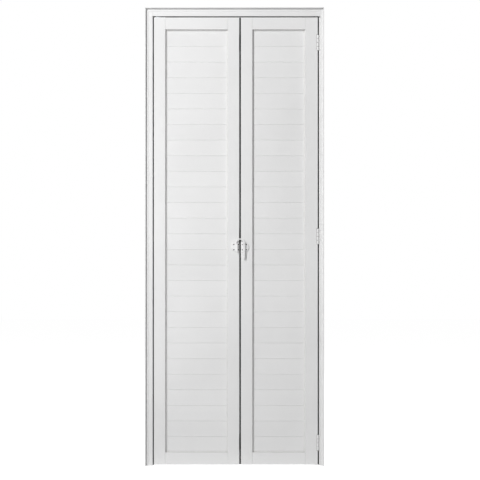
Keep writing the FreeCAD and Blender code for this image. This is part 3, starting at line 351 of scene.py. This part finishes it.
def build_screw_tree(tree):
    """One screw along +Z from its seat, repeated on every seat along the seat's own way."""
    given = add(tree, "NodeGroupInput").outputs

    ball = add(tree, "GeometryNodeMeshUVSphere",
               {"Segments": HEAD_SIDES, "Rings": HEAD_RINGS, "Radius": 1.0})
    place = add(tree, "GeometryNodeInputPosition").outputs[0]
    parts = add(tree, "ShaderNodeSeparateXYZ", {"Vector": place}).outputs
    below = add(tree, "ShaderNodeMath", {0: parts["Z"], 1: 0.0}, operation="MINIMUM").outputs[0]
    seated = add(tree, "ShaderNodeCombineXYZ", {"X": parts["X"], "Y": parts["Y"], "Z": below})
    dome = add(tree, "GeometryNodeSetPosition", {
        "Geometry": ball.outputs["Mesh"], "Position": seated.outputs[0],
    }).outputs[0]
    for across, up in ((SLOT_LENGTH, SLOT_WIDTH), (SLOT_WIDTH, SLOT_LENGTH)):
        bar = add(tree, "GeometryNodeMeshCube", {"Size": (across, up, 1.0)})
        sunk = add(tree, "GeometryNodeTransform", {
            "Geometry": bar.outputs[0], "Translation": (0, 0, SLOT_MIDDLE),
        })
        dome = add(tree, "GeometryNodeMeshBoolean", {0: dome, 1: sunk.outputs[0]},
                   operation="DIFFERENCE", solver="EXACT").outputs[0]
    head_size = add(tree, "ShaderNodeCombineXYZ", {
        "X": given["Head radius"], "Y": given["Head radius"], "Z": given["Head height"],
    })
    head = add(tree, "GeometryNodeTransform", {"Geometry": dome, "Scale": head_size.outputs[0]})

    core_root, core_point, rib_top, rib_height, plain = [
        add(tree, "ShaderNodeMath", {0: given[size], 1: share}, operation="MULTIPLY").outputs[0]
        for size, share in (
            ("Shank radius", CORE_ROOT), ("Shank radius", CORE_POINT), ("Shank radius", RIB_TOP),
            ("Pitch", RIB_HEIGHT), ("Pitch", PLAIN_TURNS),
        )]
    core = add(tree, "GeometryNodeMeshCone", {
        "Vertices": SHANK_SIDES, "Radius Top": core_point, "Radius Bottom": core_root,
        "Depth": given["Length"],
    })
    run = add(tree, "ShaderNodeMath", {0: given["Length"], 1: plain}, operation="SUBTRACT")
    count = add(tree, "ShaderNodeMath", {0: run.outputs[0], 1: given["Pitch"]}, operation="DIVIDE")
    step = add(tree, "ShaderNodeCombineXYZ", {"Z": given["Pitch"]})
    turns = add(tree, "GeometryNodeMeshLine", {
        "Count": count.outputs[0], "Offset": step.outputs[0],
    })
    rib = add(tree, "GeometryNodeMeshCone", {
        "Vertices": SHANK_SIDES, "Radius Top": rib_top, "Radius Bottom": given["Shank radius"],
        "Depth": rib_height,
    })
    thread = add(tree, "GeometryNodeInstanceOnPoints", {
        "Points": turns.outputs[0], "Instance": rib.outputs["Mesh"],
    })
    thread = add(tree, "GeometryNodeRealizeInstances", {0: thread.outputs[0]})
    screw = add(tree, "GeometryNodeJoinGeometry")
    for piece in (head.outputs[0], core.outputs["Mesh"], thread.outputs[0]):
        tree.links.new(piece, screw.inputs[0])

    way = add(tree, "GeometryNodeInputNamedAttribute", {"Name": "way"}, data_type="FLOAT_VECTOR")
    aim = add(tree, "FunctionNodeAlignRotationToVector", {"Vector": way.outputs[0]}, axis="Z")
    angle = add(tree, "FunctionNodeRandomValue", {TURN_MAX: tau, "Seed": given["Seed"]},
                data_type="FLOAT")
    spin = add(tree, "FunctionNodeAxisAngleToRotation", {
        "Axis": (0, 0, 1), "Angle": angle.outputs[TURN_OUT],
    })
    turned = add(tree, "FunctionNodeRotateRotation", {
        "Rotation": aim.outputs[0], "Rotate By": spin.outputs[0],
    }, rotation_space="LOCAL")
    placed = add(tree, "GeometryNodeInstanceOnPoints", {
        "Points": given["Seats"], "Instance": screw.outputs[0], "Rotation": turned.outputs[0],
    })
    real = add(tree, "GeometryNodeRealizeInstances", {0: placed.outputs[0]})
    finished = add(tree, "GeometryNodeSetMaterial", {
        "Geometry": real.outputs[0], "Material": given["Finish"],
    })
    add(tree, "NodeGroupOutput", {0: finished.outputs[0]})


build_screw_tree(screw_tree)


def screw_seats(node):
    """Where each screw of a CAD group seats, the way its shank points, and its sizes."""
    form = merged_copy(node)
    seats, reached = [], set()
    for start in form.verts:
        if start in reached:
            continue
        island, ahead = [], [start]
        while ahead:
            vert = ahead.pop()
            if vert not in reached:
                reached.add(vert)
                island.append(vert)
                ahead += [link.other_vert(vert) for link in vert.link_edges]
        points = [vert.co.copy() for vert in island]
        low = Vector(map(min, *points))
        high = Vector(map(max, *points))
        middle = (low + high) / 2
        axis = max(range(3), key=lambda i: high[i] - low[i])

        def spread(point):
            off = point - middle
            off[axis] = 0
            return off.length

        widest = max(map(spread, points))
        head = [p for p in points if spread(p) > HEAD_SHARE * widest]
        shank = [p for p in points if p not in head]
        shank_place = sum(p[axis] for p in shank) / len(shank)
        head_place = sum(p[axis] for p in head) / len(head)
        way = Vector((0, 0, 0))
        way[axis] = 1 if shank_place > head_place else -1
        along = [p[axis] * way[axis] for p in head]
        seat = middle.copy()
        seat[axis] = max(along) * way[axis]
        seats.append((seat, way))
        sizes = (max(map(spread, head)), max(along) - min(along), max(map(spread, shank)),
                 max(p[axis] * way[axis] for p in points) - max(along))
    form.free()
    return seats, sizes


def plain_mesh(piece):
    """Turn an object with a node modifier into an object with a plain mesh."""
    bpy.context.view_layer.update()
    evaluated = piece.evaluated_get(bpy.context.evaluated_depsgraph_get())
    made = bpy.data.meshes.new_from_object(evaluated)
    piece.modifiers.clear()
    piece.data = made


def set_inputs(modifier, **values):
    """Set a node modifier's inputs by the names of its sockets, with spaces as underscores."""
    names = {item.name: item.identifier for item in modifier.node_group.interface.items_tree
             if item.in_out == "INPUT"}
    for name, value in values.items():
        modifier[names[name.replace("_", " ")]] = value


def drive_screws(node, seed, finish=zinc_plate, slot="zinc_plated_steel"):
    """Cross-recess screws in place of a CAD group of plain ones."""
    seats, (head_radius, head_height, shank_radius, length) = screw_seats(node)
    mesh = bpy.data.meshes.new(f"{node}_driven")
    mesh.from_pydata([seat for seat, _ in seats], [], [])
    ways = mesh.attributes.new("way", "FLOAT_VECTOR", "POINT")
    for value, (_, way) in zip(ways.data, seats):
        value.vector = way
    piece = new_piece(f"{node}_driven", mesh)
    modifier = piece.modifiers.new("screws", "NODES")
    modifier.node_group = screw_tree
    set_inputs(modifier, Head_radius=head_radius, Head_height=head_height,
               Shank_radius=shank_radius, Length=length, Pitch=THREAD_PITCH, Seed=seed,
               Finish=finish)
    plain_mesh(piece)
    stand_for(piece, slot, node)


drive_screws("corner_key_screws", seed=1)

# Closing strip: a hollow aluminium strip clipped into the left jamb's step, coated as the frame.
# The leading edge of the left leaf shuts against it.

finish_cad(extrusion_coat, "closing_strip")

# Pile seal: a woven backing with short grey polypropylene tufts, slid into the strip's slot.
# The tufts lean at random and just miss the leaf. They look soft and matt, with paler flecks.

PILE_GREY = "6A6B6C"
PILE_FLECK = "8C8D8E"
PILE_ROUGHNESS = 0.85
PILE_SHEEN = 0.3
PILE_BACKING = 0.8 * MM
TUFT_SPACING = 0.9 * MM
TUFT_WIDTH = 0.5 * MM
TUFT_TIP = 0.4           # width of a tuft's tip, as a share of its foot
TUFT_SIDES = 4
TUFT_ROWS = 4
TUFT_REACH = 0.97        # share of the way to the edge of the seal, so that leaning tufts stay in
TUFT_LEAN = radians(6)
LEAN_MIN, LEAN_MAX = 0, 1    # sockets of a Random Value node set to a vector
COUNT_A, COUNT_B = 2, 3      # sockets of a Compare node set to whole numbers

pile_material, tree, where, shader = new_material("grey polypropylene pile")
strand = add(tree, "ShaderNodeTexNoise",
             {"Vector": where, "Scale": 1 / TUFT_SPACING, "Detail": 2.0})
fleck = add(tree, "ShaderNodeMix", {
    FACTOR: strand.outputs["Fac"], COLOUR_A: linear(PILE_GREY), COLOUR_B: linear(PILE_FLECK),
}, data_type="RGBA")
tree.links.new(fleck.outputs[COLOUR_OUT], shader.inputs["Base Color"])
shader.inputs["Roughness"].default_value = PILE_ROUGHNESS
shader.inputs["Sheen Weight"].default_value = PILE_SHEEN

tuft_tree = new_tree("pile_tufts", "Pile", (
    ("Backing", "Geometry"), ("Length", "Float"), ("Width", "Float"), ("Lean", "Float"),
    ("Seed", "Int"), ("Finish", "Material"),
))


def build_tuft_tree(tree):
    """A tapered tuft along +X on every loose point, leaning at random, with the backing kept."""
    given = add(tree, "NodeGroupInput").outputs
    tip = add(tree, "ShaderNodeMath", {0: given["Width"], 1: TUFT_TIP}, operation="MULTIPLY")
    tuft = add(tree, "GeometryNodeMeshCone", {
        "Vertices": TUFT_SIDES, "Radius Top": tip.outputs[0], "Radius Bottom": given["Width"],
        "Depth": given["Length"],
    })
    back = add(tree, "ShaderNodeMath", {0: given["Lean"], 1: -1.0}, operation="MULTIPLY").outputs[0]
    low = add(tree, "ShaderNodeCombineXYZ", {"X": back, "Y": back})
    high = add(tree, "ShaderNodeCombineXYZ", {"X": given["Lean"], "Y": given["Lean"]})
    lean = add(tree, "FunctionNodeRandomValue", {
        LEAN_MIN: low.outputs[0], LEAN_MAX: high.outputs[0], "Seed": given["Seed"],
    }, data_type="FLOAT_VECTOR")
    lying = add(tree, "FunctionNodeEulerToRotation", {"Euler": (0, tau / 4, 0)})
    turned = add(tree, "FunctionNodeRotateRotation", {
        "Rotation": lying.outputs[0], "Rotate By": lean.outputs[0],
    }, rotation_space="LOCAL")
    faces = add(tree, "GeometryNodeInputMeshVertexNeighbors").outputs["Face Count"]
    loose = add(tree, "FunctionNodeCompare", {COUNT_A: faces, COUNT_B: 0},
                data_type="INT", operation="EQUAL")
    tufts = add(tree, "GeometryNodeInstanceOnPoints", {
        "Points": given["Backing"], "Selection": loose.outputs[0],
        "Instance": tuft.outputs["Mesh"], "Rotation": turned.outputs[0],
    })
    real = add(tree, "GeometryNodeRealizeInstances", {0: tufts.outputs[0]})
    both = add(tree, "GeometryNodeJoinGeometry")
    for piece in (real.outputs[0], given["Backing"]):
        tree.links.new(piece, both.inputs[0])
    finished = add(tree, "GeometryNodeSetMaterial", {
        "Geometry": both.outputs[0], "Material": given["Finish"],
    })
    add(tree, "NodeGroupOutput", {0: finished.outputs[0]})


build_tuft_tree(tuft_tree)

pile_low, pile_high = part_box("pile_seal")
backing_high = Vector((pile_low.x + PILE_BACKING, pile_high.y, pile_high.z))
form = bmesh.new()
for vert in bmesh.ops.create_cube(form, size=1.0)["verts"]:
    vert.co = Vector(low + (at + 0.5) * (high - low)
                     for at, low, high in zip(vert.co, pile_low, backing_high))
row_step = (pile_high.y - pile_low.y - 2 * TUFT_WIDTH) / (TUFT_ROWS - 1)
for row in range(TUFT_ROWS):
    stagger = (row % 2) * TUFT_SPACING / 2
    rise = pile_low.z + TUFT_SPACING + stagger
    while rise < pile_high.z - TUFT_SPACING:
        form.verts.new((backing_high.x, pile_low.y + TUFT_WIDTH + row * row_step, rise))
        rise += TUFT_SPACING
mesh = bpy.data.meshes.new("pile_seal_tufted")
form.to_mesh(mesh)
form.free()
pile = new_piece("pile_seal_tufted", mesh)
modifier = pile.modifiers.new("tufts", "NODES")
modifier.node_group = tuft_tree
set_inputs(modifier, Length=(pile_high.x - pile_low.x - PILE_BACKING) * TUFT_REACH,
           Width=TUFT_WIDTH, Lean=TUFT_LEAN, Seed=4, Finish=pile_material)
plain_mesh(pile)
stand_for(pile, "grey_pile", "pile_seal")

# Guide track: an aluminium channel screwed up under the head, coated as the frame. Its front lip
# hides the wheel that runs in it. It is cut to reach the right jamb, with its front part in the
# step of the frame.

FRAME_FACE = 22 * MM     # width of the frame around the opening
FRAME_STEP = 6 * MM      # width of the step in the frame's front
STEP_BACK = -15.15 * MM  # back of the track's front part, just before the back of the step
TRACK_GAP = 0.15 * MM    # gap between the end of the track and the jamb

form = merged_copy("guide_track")
track_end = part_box("guide_track")[1].x - HOLE_SLACK
jamb_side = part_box("right_jamb")[1].x - FRAME_FACE - TRACK_GAP
end_faces = [face for face in form.faces if all(vert.co.x > track_end for vert in face.verts)]
end_edges = {edge for face in end_faces for edge in face.edges}
end_verts = {vert for face in end_faces for vert in face.verts}
for vert in end_verts:
    vert.co.x = jamb_side
bmesh.ops.bisect_plane(form, geom=[*end_verts, *end_edges, *end_faces], dist=HOLE_SLACK,
                       plane_co=(0, STEP_BACK, 0), plane_no=(0, 1, 0))
front_faces = [face for face in form.faces if all(
    vert.co.x > track_end and vert.co.y < STEP_BACK + HOLE_SLACK for vert in face.verts)]
front_edges = {edge for face in front_faces for edge in face.edges}
drawn_out = bmesh.ops.extrude_face_region(form, geom=[*front_faces, *front_edges])["geom"]
for part in drawn_out:
    if isinstance(part, bmesh.types.BMVert):
        part.co.x += FRAME_STEP
coated_piece("guide_track_fitted", form, "guide_track")
drive_screws("track_screws", seed=2)

# Gaskets: extruded black rubber on the frame's stop and along the fold, which keep light and
# draught out of the gaps. Matt, with a grey bloom and fine marks from the die.

RUBBER = "0C0C0D"
RUBBER_BLOOM = "1A1A1B"
RUBBER_ROUGHNESS = 0.85
RUBBER_SPECULAR = 0.15
BLOOM_PATCH = 40 * MM
DIE_MARK = 0.7 * MM
DIE_DEPTH = 0.05 * MM

rubber, tree, where, shader = new_material("extruded black rubber")
bloom = add(tree, "ShaderNodeTexNoise", {"Vector": where, "Scale": 1 / BLOOM_PATCH, "Detail": 4.0})
skin = add(tree, "ShaderNodeMix", {
    FACTOR: bloom.outputs["Fac"], COLOUR_A: linear(RUBBER), COLOUR_B: linear(RUBBER_BLOOM),
}, data_type="RGBA")
marks = add(tree, "ShaderNodeTexNoise", {"Vector": where, "Scale": 1 / DIE_MARK, "Detail": 1.0})
bump = add(tree, "ShaderNodeBump", {"Height": marks.outputs["Fac"], "Distance": DIE_DEPTH})
tree.links.new(skin.outputs[COLOUR_OUT], shader.inputs["Base Color"])
tree.links.new(bump.outputs[0], shader.inputs["Normal"])
shader.inputs["Roughness"].default_value = RUBBER_ROUGHNESS
shader.inputs["Specular IOR Level"].default_value = RUBBER_SPECULAR
finish_cad(rubber, "jamb_gasket", "head_gasket", "fold_gasket")

# Leaves: hollow stiles and rails screwed together through cast blocks in the rail ends, with
# snap-in beads in front of the planks. All are coated with the frame. The outer edges of the
# stiles have round holes for the screwdriver.

RAILS = ("right_top_rail", "right_bottom_rail", "left_top_rail", "left_bottom_rail")
BEADS = ("right_side_beads", "right_rail_beads", "left_side_beads", "left_rail_beads")
STILES = ("right_hinge_stile", "right_fold_stile", "left_lead_stile", "left_fold_stile")
DRIVER_HOLE = 5 * MM     # radius of the hole in a stile's edge for the screwdriver
BEAD_REACH = 18 * MM     # painted shade reaches all across the inner corner of a bead
BEAD_SEAM_SHADE = 0.9

# Painted shade: the beads get a coat whose seam shade reaches wide and dark, so each bead's inner
# corner is painted darker.
bead_coat = white_coat("white powder coat on beads", COAT_WHITE, COAT_ROUGHNESS, EDGE_ROUND,
                       BEAD_SEAM_SHADE, BEAD_REACH)
finish_cad(extrusion_coat, *RAILS)
finish_cad(bead_coat, *BEADS)
for stile in STILES:
    bored_extrusion(stile, DRIVER_HOLE)
finish_cad(cast_aluminium, "right_corner_blocks", "left_corner_blocks")
drive_screws("right_corner_screws", seed=3)
drive_screws("left_corner_screws", seed=5)

# End caps: black plastic plugs pushed into the open ends of the stiles. They are moulded in a
# spark-eroded tool, which leaves a fine matt grain.

CAP_BLACK = "222324"
CAP_GREY = "2E2F30"
CAP_ROUGHNESS = 0.6
CAP_GRAIN = 0.6 * MM     # a real eroded grain is finer and wouldn't show
CAP_DEPTH = 0.04 * MM

cap_plastic, tree, where, shader = new_material("moulded black plastic")
grain = add(tree, "ShaderNodeTexNoise", {"Vector": where, "Scale": 1 / CAP_GRAIN, "Detail": 3.0})
skin = add(tree, "ShaderNodeMix", {
    FACTOR: grain.outputs["Fac"], COLOUR_A: linear(CAP_BLACK), COLOUR_B: linear(CAP_GREY),
}, data_type="RGBA")
bump = add(tree, "ShaderNodeBump", {"Height": grain.outputs["Fac"], "Distance": CAP_DEPTH})
tree.links.new(skin.outputs[COLOUR_OUT], shader.inputs["Base Color"])
tree.links.new(bump.outputs[0], shader.inputs["Normal"])
shader.inputs["Roughness"].default_value = CAP_ROUGHNESS
finish_cad(cap_plastic, "right_end_caps", "left_end_caps")

# Planks: hollow tongue-and-groove lengths stacked between the rails, coated one by one,
# so each has its own slight tone, and drawn with faint lines along the extrusion.

PLANK_WHITE = "F2F2F2"
# share of painted shade in the tightest seams of the planks
PLANK_SEAM_SHADE = 0.1
PLANK_COUNT = 27
PLANK_TONE = 0.978       # share of the white that is left on the darkest plank
TONGUE = 6 * MM
DRAW_LINE = 3 * MM       # real die lines are finer and wouldn't show
DRAW_LENGTH = 500 * MM   # length over which a line comes and goes
DRAW_TONE = 0.985        # share of the white that is left in the darkest line
plank_low, plank_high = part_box("right_planks")
PLANK_PITCH = (plank_high.z - plank_low.z - TONGUE) / PLANK_COUNT


def plank_tone(tree, where):
    """A slight tone for each plank, and faint lines along it."""
    height = add(tree, "ShaderNodeSeparateXYZ", {"Vector": where}).outputs["Z"]
    rise = add(tree, "ShaderNodeMath", {0: height, 1: plank_low.z}, operation="SUBTRACT")
    step = add(tree, "ShaderNodeMath", {0: rise.outputs[0], 1: PLANK_PITCH}, operation="DIVIDE")
    plank = add(tree, "ShaderNodeMath", {0: step.outputs[0]}, operation="FLOOR")
    own = add(tree, "ShaderNodeTexWhiteNoise", {"W": plank.outputs[0]}, noise_dimensions="1D")
    own = add(tree, "ShaderNodeMapRange", {
        "Value": own.outputs["Value"], "To Min": PLANK_TONE, "To Max": 1.0,
    })
    drawn = add(tree, "ShaderNodeMapping", {
        "Vector": where, "Scale": (1 / DRAW_LENGTH, 1 / DRAW_LINE, 1 / DRAW_LINE),
    })
    lines = add(tree, "ShaderNodeTexNoise",
                {"Vector": drawn.outputs[0], "Scale": 1.0, "Detail": 2.0})
    faint = add(tree, "ShaderNodeMapRange", {
        "Value": lines.outputs["Fac"], "To Min": DRAW_TONE, "To Max": 1.0,
    })
    both = add(tree, "ShaderNodeMath", {0: own.outputs[0], 1: faint.outputs[0]},
               operation="MULTIPLY")
    return both.outputs[0]


plank_coat = white_coat("white powder coat on planks", PLANK_WHITE, COAT_ROUGHNESS, EDGE_ROUND,
                        PLANK_SEAM_SHADE, SEAM_REACH, plank_tone)
finish_cad(plank_coat, "right_planks", "left_planks")

# Hinges: steel butt hinges coated white with the frame, each of two flaps with knuckles in turn,
# and a zinc-plated pin. Edges are rolled soft, as pressed hinges are.

HINGE_WHITE = "F4F4F4"
HINGE_ROUGHNESS = (0.28, 0.38)
FLAP_ROUND = 0.3 * MM
KNUCKLE_ROUND = 2.3 * MM
KNUCKLE_RADIUS = 5.25 * MM
KNUCKLE_CUTS = 4         # facets of a rolled knuckle end
EDGE_CUTS = 2            # facets of any other rounded edge
PIN_ROUND = 0.5 * MM
SHARP = radians(28)      # edges that turn by more than this are rounded
CREASE = radians(40)     # edges that turn by more than this stay crisp in the shading
BORE_REACH = 1.2         # a hole's wall lies within this many radii of the screw in it
BORE_TILT = 0.1          # and its faces look across the screw to within this share
FLAP_SCREWS = {"frame": "jamb_hinge_frame_screws", "leaf": "right_hinge_screws",
               "right": "right_hinge_screws", "left": "left_hinge_screws"}


def round_edges(form, chosen, round_by, cuts):
    """Round the sharp edges of a bmesh that a test chooses."""
    sharp = [edge for edge in form.edges
             if edge.is_manifold and edge.calc_face_angle() > SHARP and chosen(edge)]
    bmesh.ops.bevel(form, geom=sharp, offset=round_by, segments=cuts, profile=0.5,
                    affect="EDGES", clamp_overlap=True)


def close_screw_holes(form, screws):
    """Close the holes of a bmesh that a CAD group of screws fills."""
    seats, (_, _, shank_radius, _) = screw_seats(screws)
    reach = shank_radius * BORE_REACH
    walls = []
    for face in form.faces:
        for seat, way in seats:
            offs = [vert.co - seat for vert in face.verts]
            if abs(face.normal.dot(way)) < BORE_TILT and all(
                    (off - way * off.dot(way)).length < reach for off in offs):
                walls.append(face)
                break
    rims = [edge for edge in form.edges if len({face in walls for face in edge.link_faces}) == 2]
    bmesh.ops.delete(form, geom=walls, context="FACES_ONLY")
    bmesh.ops.delete(form, geom=[edge for edge in form.edges if edge.is_wire], context="EDGES")
    bmesh.ops.holes_fill(form, sides=0, edges=[
        edge for edge in rims if edge.is_valid and edge.is_boundary])


def softened(node, round_by, material, slot, screws=None, axis=None):
    """A copy of a CAD piece with its sharp edges rounded. Holes filled by its screws are closed,
    and the ends of knuckles are rounded more where their upright axis is given."""
    form = merged_copy(node)
    if screws is not None:
        close_screw_holes(form, screws)
    bmesh.ops.dissolve_limit(form, angle_limit=FLAT, verts=form.verts, edges=form.edges)
    bmesh.ops.connect_verts_concave(form, faces=form.faces)
    if axis is not None:
        def on_knuckle(edge):
            spread = [(vert.co.to_2d() - axis).length for vert in edge.verts]
            level = abs(edge.verts[0].co.z - edge.verts[1].co.z) < FLAP_ROUND
            return level and all(abs(far - KNUCKLE_RADIUS) < FLAP_ROUND for far in spread)

        round_edges(form, on_knuckle, KNUCKLE_ROUND, KNUCKLE_CUTS)
    round_edges(form, lambda edge: True, round_by, EDGE_CUTS)
    bmesh.ops.dissolve_degenerate(form, dist=WELD, edges=form.edges)
    for face in form.faces:
        face.smooth = True
    mesh = bpy.data.meshes.new(f"{node}_finished")
    form.to_mesh(mesh)
    form.free()
    mesh.set_sharp_from_angle(angle=CREASE)
    mesh.materials.append(material)
    stand_for(new_piece(f"{node}_finished", mesh), slot, node)


hinge_coat = white_coat("white powder coat on steel", HINGE_WHITE, HINGE_ROUGHNESS, FLAP_ROUND,
                        COAT_SEAM_SHADE, SEAM_REACH)
for line, flaps in (("jamb", ("frame", "leaf")), ("fold", ("right", "left"))):
    pins = f"{line}_hinge_pins"
    pin_low, pin_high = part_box(pins)
    axis = ((pin_low + pin_high) / 2).to_2d()
    softened(pins, PIN_ROUND, zinc_plate, "zinc_plated_steel")
    for level in ("upper", "middle", "lower"):
        for flap in flaps:
            softened(f"{level}_{line}_hinge_{flap}_flap", FLAP_ROUND, hinge_coat,
                     "white_powder_coat", FLAP_SCREWS[flap], axis)
drive_screws("jamb_hinge_frame_screws", seed=6)
drive_screws("right_hinge_screws", seed=7)
drive_screws("left_hinge_screws", seed=8)

# Guide: a plated steel bracket screwed on the lead stile, with a turned pin and a nylon wheel
# that runs in the track. The nylon is moulded, so it looks waxy and faintly cloudy.

NYLON = "DAD7CC"
NYLON_SHADE = "C9C5B7"
NYLON_ROUGHNESS = 0.42
NYLON_IOR = 1.53
NYLON_CLOUD = 4 * MM
NYLON_DEPTH = 0.03 * MM
BRACKET_ROUND = 0.4 * MM
GUIDE_PIN_ROUND = 0.3 * MM
WHEEL_ROUND = 0.8 * MM

nylon, tree, where, shader = new_material("moulded nylon")
cloud = add(tree, "ShaderNodeTexNoise", {"Vector": where, "Scale": 1 / NYLON_CLOUD, "Detail": 3.0})
skin = add(tree, "ShaderNodeMix", {
    FACTOR: cloud.outputs["Fac"], COLOUR_A: linear(NYLON), COLOUR_B: linear(NYLON_SHADE),
}, data_type="RGBA")
bump = add(tree, "ShaderNodeBump", {"Height": cloud.outputs["Fac"], "Distance": NYLON_DEPTH})
tree.links.new(skin.outputs[COLOUR_OUT], shader.inputs["Base Color"])
tree.links.new(bump.outputs[0], shader.inputs["Normal"])
shader.inputs["Roughness"].default_value = NYLON_ROUGHNESS
shader.inputs["IOR"].default_value = NYLON_IOR
softened("guide_bracket", BRACKET_ROUND, zinc_plate, "zinc_plated_steel", "guide_bracket_screws")
softened("guide_pin", GUIDE_PIN_ROUND, zinc_plate, "zinc_plated_steel")
softened("guide_wheel", WHEEL_ROUND, nylon, "nylon")
drive_screws("guide_bracket_screws", seed=9)

# Latch: zinc castings enamelled white. A plate and a keeper are screwed to the fold stiles, and
# the hooked lever turns on a riveted pivot. The screws are black-oxide steel, dark and dull.

LATCH_WHITE = "F3F3F3"
LATCH_ROUGHNESS = (0.22, 0.32)
ENAMEL_ROUND = 0.6 * MM  # radius that the enamel leaves on a cast edge
PLATE_ROUND = 0.7 * MM
PIVOT_ROUND = 0.6 * MM
LEVER_ROUND = 1.1 * MM
OXIDE = "3A3A3B"
OXIDE_SHADE = "242425"
OXIDE_ROUGHNESS = 0.45

latch_coat = white_coat("white enamel on zinc castings", LATCH_WHITE, LATCH_ROUGHNESS,
                        ENAMEL_ROUND, COAT_SEAM_SHADE, SEAM_REACH)
for node, round_by, screws in (
    ("latch_plate", PLATE_ROUND, "latch_plate_screws"),
    ("latch_keeper", PLATE_ROUND, "latch_keeper_screws"),
    ("latch_pivot", PIVOT_ROUND, None),
    ("latch_lever", LEVER_ROUND, None),
):
    softened(node, round_by, latch_coat, "white_powder_coat", screws)
black_oxide = plated_steel("black-oxide steel", OXIDE, OXIDE_SHADE, OXIDE_ROUGHNESS)
drive_screws("latch_plate_screws", seed=10, finish=black_oxide, slot="blackened_steel")
drive_screws("latch_keeper_screws", seed=11, finish=black_oxide, slot="blackened_steel")

# Floor, light and camera: a white studio. The floor and the backdrop are white to the eye but
# light the door only a little, and the floor keeps a soft shadow. The main soft box stands high
# in front on the left, and others fill in from the front, from the floor and from behind.

FLOOR_HALF = 12.0
FLOOR_DROP = 0.4 * MM    # below the feet, so that no face lies in the floor
FLOOR_PAINT = "D6D6D6"   # the floor as it lights the door
FLOOR_SHADE = "B4B4B4"   # the floor as it is seen, with a glow added
FLOOR_GLOW = 0.9
STUDIO_WHITE = "FFFFFF"
BACKDROP_LIGHT = 0.19
DOOR_MIDDLE = (0, 0, 1.1)
VIEW_CENTRE = (0.0252, 1.0346)    # how far right and how high the camera stands
VIEW_WIDTH = 2.197       # width of the picture at the front of the frame
VIEW_DISTANCE = 6.5
VIEW_END = 100.0         # how far the camera sees
SENSOR = 36.0            # millimetres, as a camera's sensor is given

form = bmesh.new()
corners = [form.verts.new((x * FLOOR_HALF, y * FLOOR_HALF, -FLOOR_DROP))
           for x, y in ((-1, -1), (1, -1), (1, 1), (-1, 1))]
form.faces.new(corners)
mesh = bpy.data.meshes.new("studio_floor")
form.to_mesh(mesh)
form.free()
floor = new_piece("studio_floor", mesh)

floor_paint = bpy.data.materials.new("white studio floor")
floor_paint.use_nodes = True
tree = floor_paint.node_tree
tree.nodes.clear()
path = add(tree, "ShaderNodeLightPath").outputs
seen = add(tree, "ShaderNodeMath", {0: path["Is Camera Ray"], 1: path["Is Glossy Ray"]},
           operation="MAXIMUM")
seen = add(tree, "ShaderNodeMath", {0: seen.outputs[0], 1: path["Is Transmission Ray"]},
           operation="MAXIMUM")
matt = add(tree, "ShaderNodeBsdfDiffuse", {"Color": linear(FLOOR_PAINT)})
shade = add(tree, "ShaderNodeBsdfDiffuse", {"Color": linear(FLOOR_SHADE)})
glow = add(tree, "ShaderNodeEmission", {"Color": linear(STUDIO_WHITE), "Strength": FLOOR_GLOW})
shown = add(tree, "ShaderNodeAddShader", {0: shade.outputs[0], 1: glow.outputs[0]})
floor_mix = add(tree, "ShaderNodeMixShader", {
    0: seen.outputs[0], 1: matt.outputs[0], 2: shown.outputs[0],
})
add(tree, "ShaderNodeOutputMaterial", {"Surface": floor_mix.outputs[0]})
floor.data.materials.append(floor_paint)

world = bpy.data.worlds.new("white studio")
world.use_nodes = True
tree = world.node_tree
tree.nodes.clear()
path = add(tree, "ShaderNodeLightPath").outputs
seen = add(tree, "ShaderNodeMath", {0: path["Is Camera Ray"], 1: path["Is Transmission Ray"]},
           operation="MAXIMUM")
level = add(tree, "ShaderNodeMapRange", {
    "Value": seen.outputs[0], "To Min": BACKDROP_LIGHT, "To Max": 1.0,
})
sky = add(tree, "ShaderNodeBackground", {
    "Color": linear(STUDIO_WHITE), "Strength": level.outputs[0],
})
add(tree, "ShaderNodeOutputWorld", {"Surface": sky.outputs[0]})
bpy.context.scene.world = world

# Places and sizes are in metres, and power is in watts.
for name, place, target, size, power in (
    ("key_soft_box", (-2.24, -3.71, 3.73), DOOR_MIDDLE, (0.8, 0.8), 166),
    ("low_soft_box", (-0.9, -1.4, 1.1), (-0.2, 0, 1.1), (0.4, 0.4), 3.8),
    ("floor_card", (0, -0.075, 0.006), (0, 0, 0.006), (0.8, 0.01), 0.02),
    ("back_soft_box", (1.6, 3.2, 2.6), DOOR_MIDDLE, (0.8, 0.8), 80),
):
    lamp = bpy.data.lights.new(name, "AREA")
    lamp.shape = "RECTANGLE"
    lamp.size, lamp.size_y = size
    lamp.energy = power
    holder = bpy.data.objects.new(name, lamp)
    holder.location = place
    facing = Vector(target) - Vector(place)
    holder.rotation_euler = facing.to_track_quat("-Z", "Y").to_euler()
    bpy.context.scene.collection.objects.link(holder)

camera = bpy.data.cameras.new("photo_camera")
camera.sensor_width = SENSOR
camera.lens = SENSOR * VIEW_DISTANCE / VIEW_WIDTH
camera.clip_end = VIEW_END
viewer = bpy.data.objects.new("photo_camera", camera)
viewer.location = (VIEW_CENTRE[0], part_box("head")[0].y - VIEW_DISTANCE, VIEW_CENTRE[1])
viewer.rotation_euler = (radians(90), 0, 0)
bpy.context.scene.collection.objects.link(viewer)
bpy.context.scene.camera = viewer
bpy.context.scene.view_settings.view_transform = "Standard"
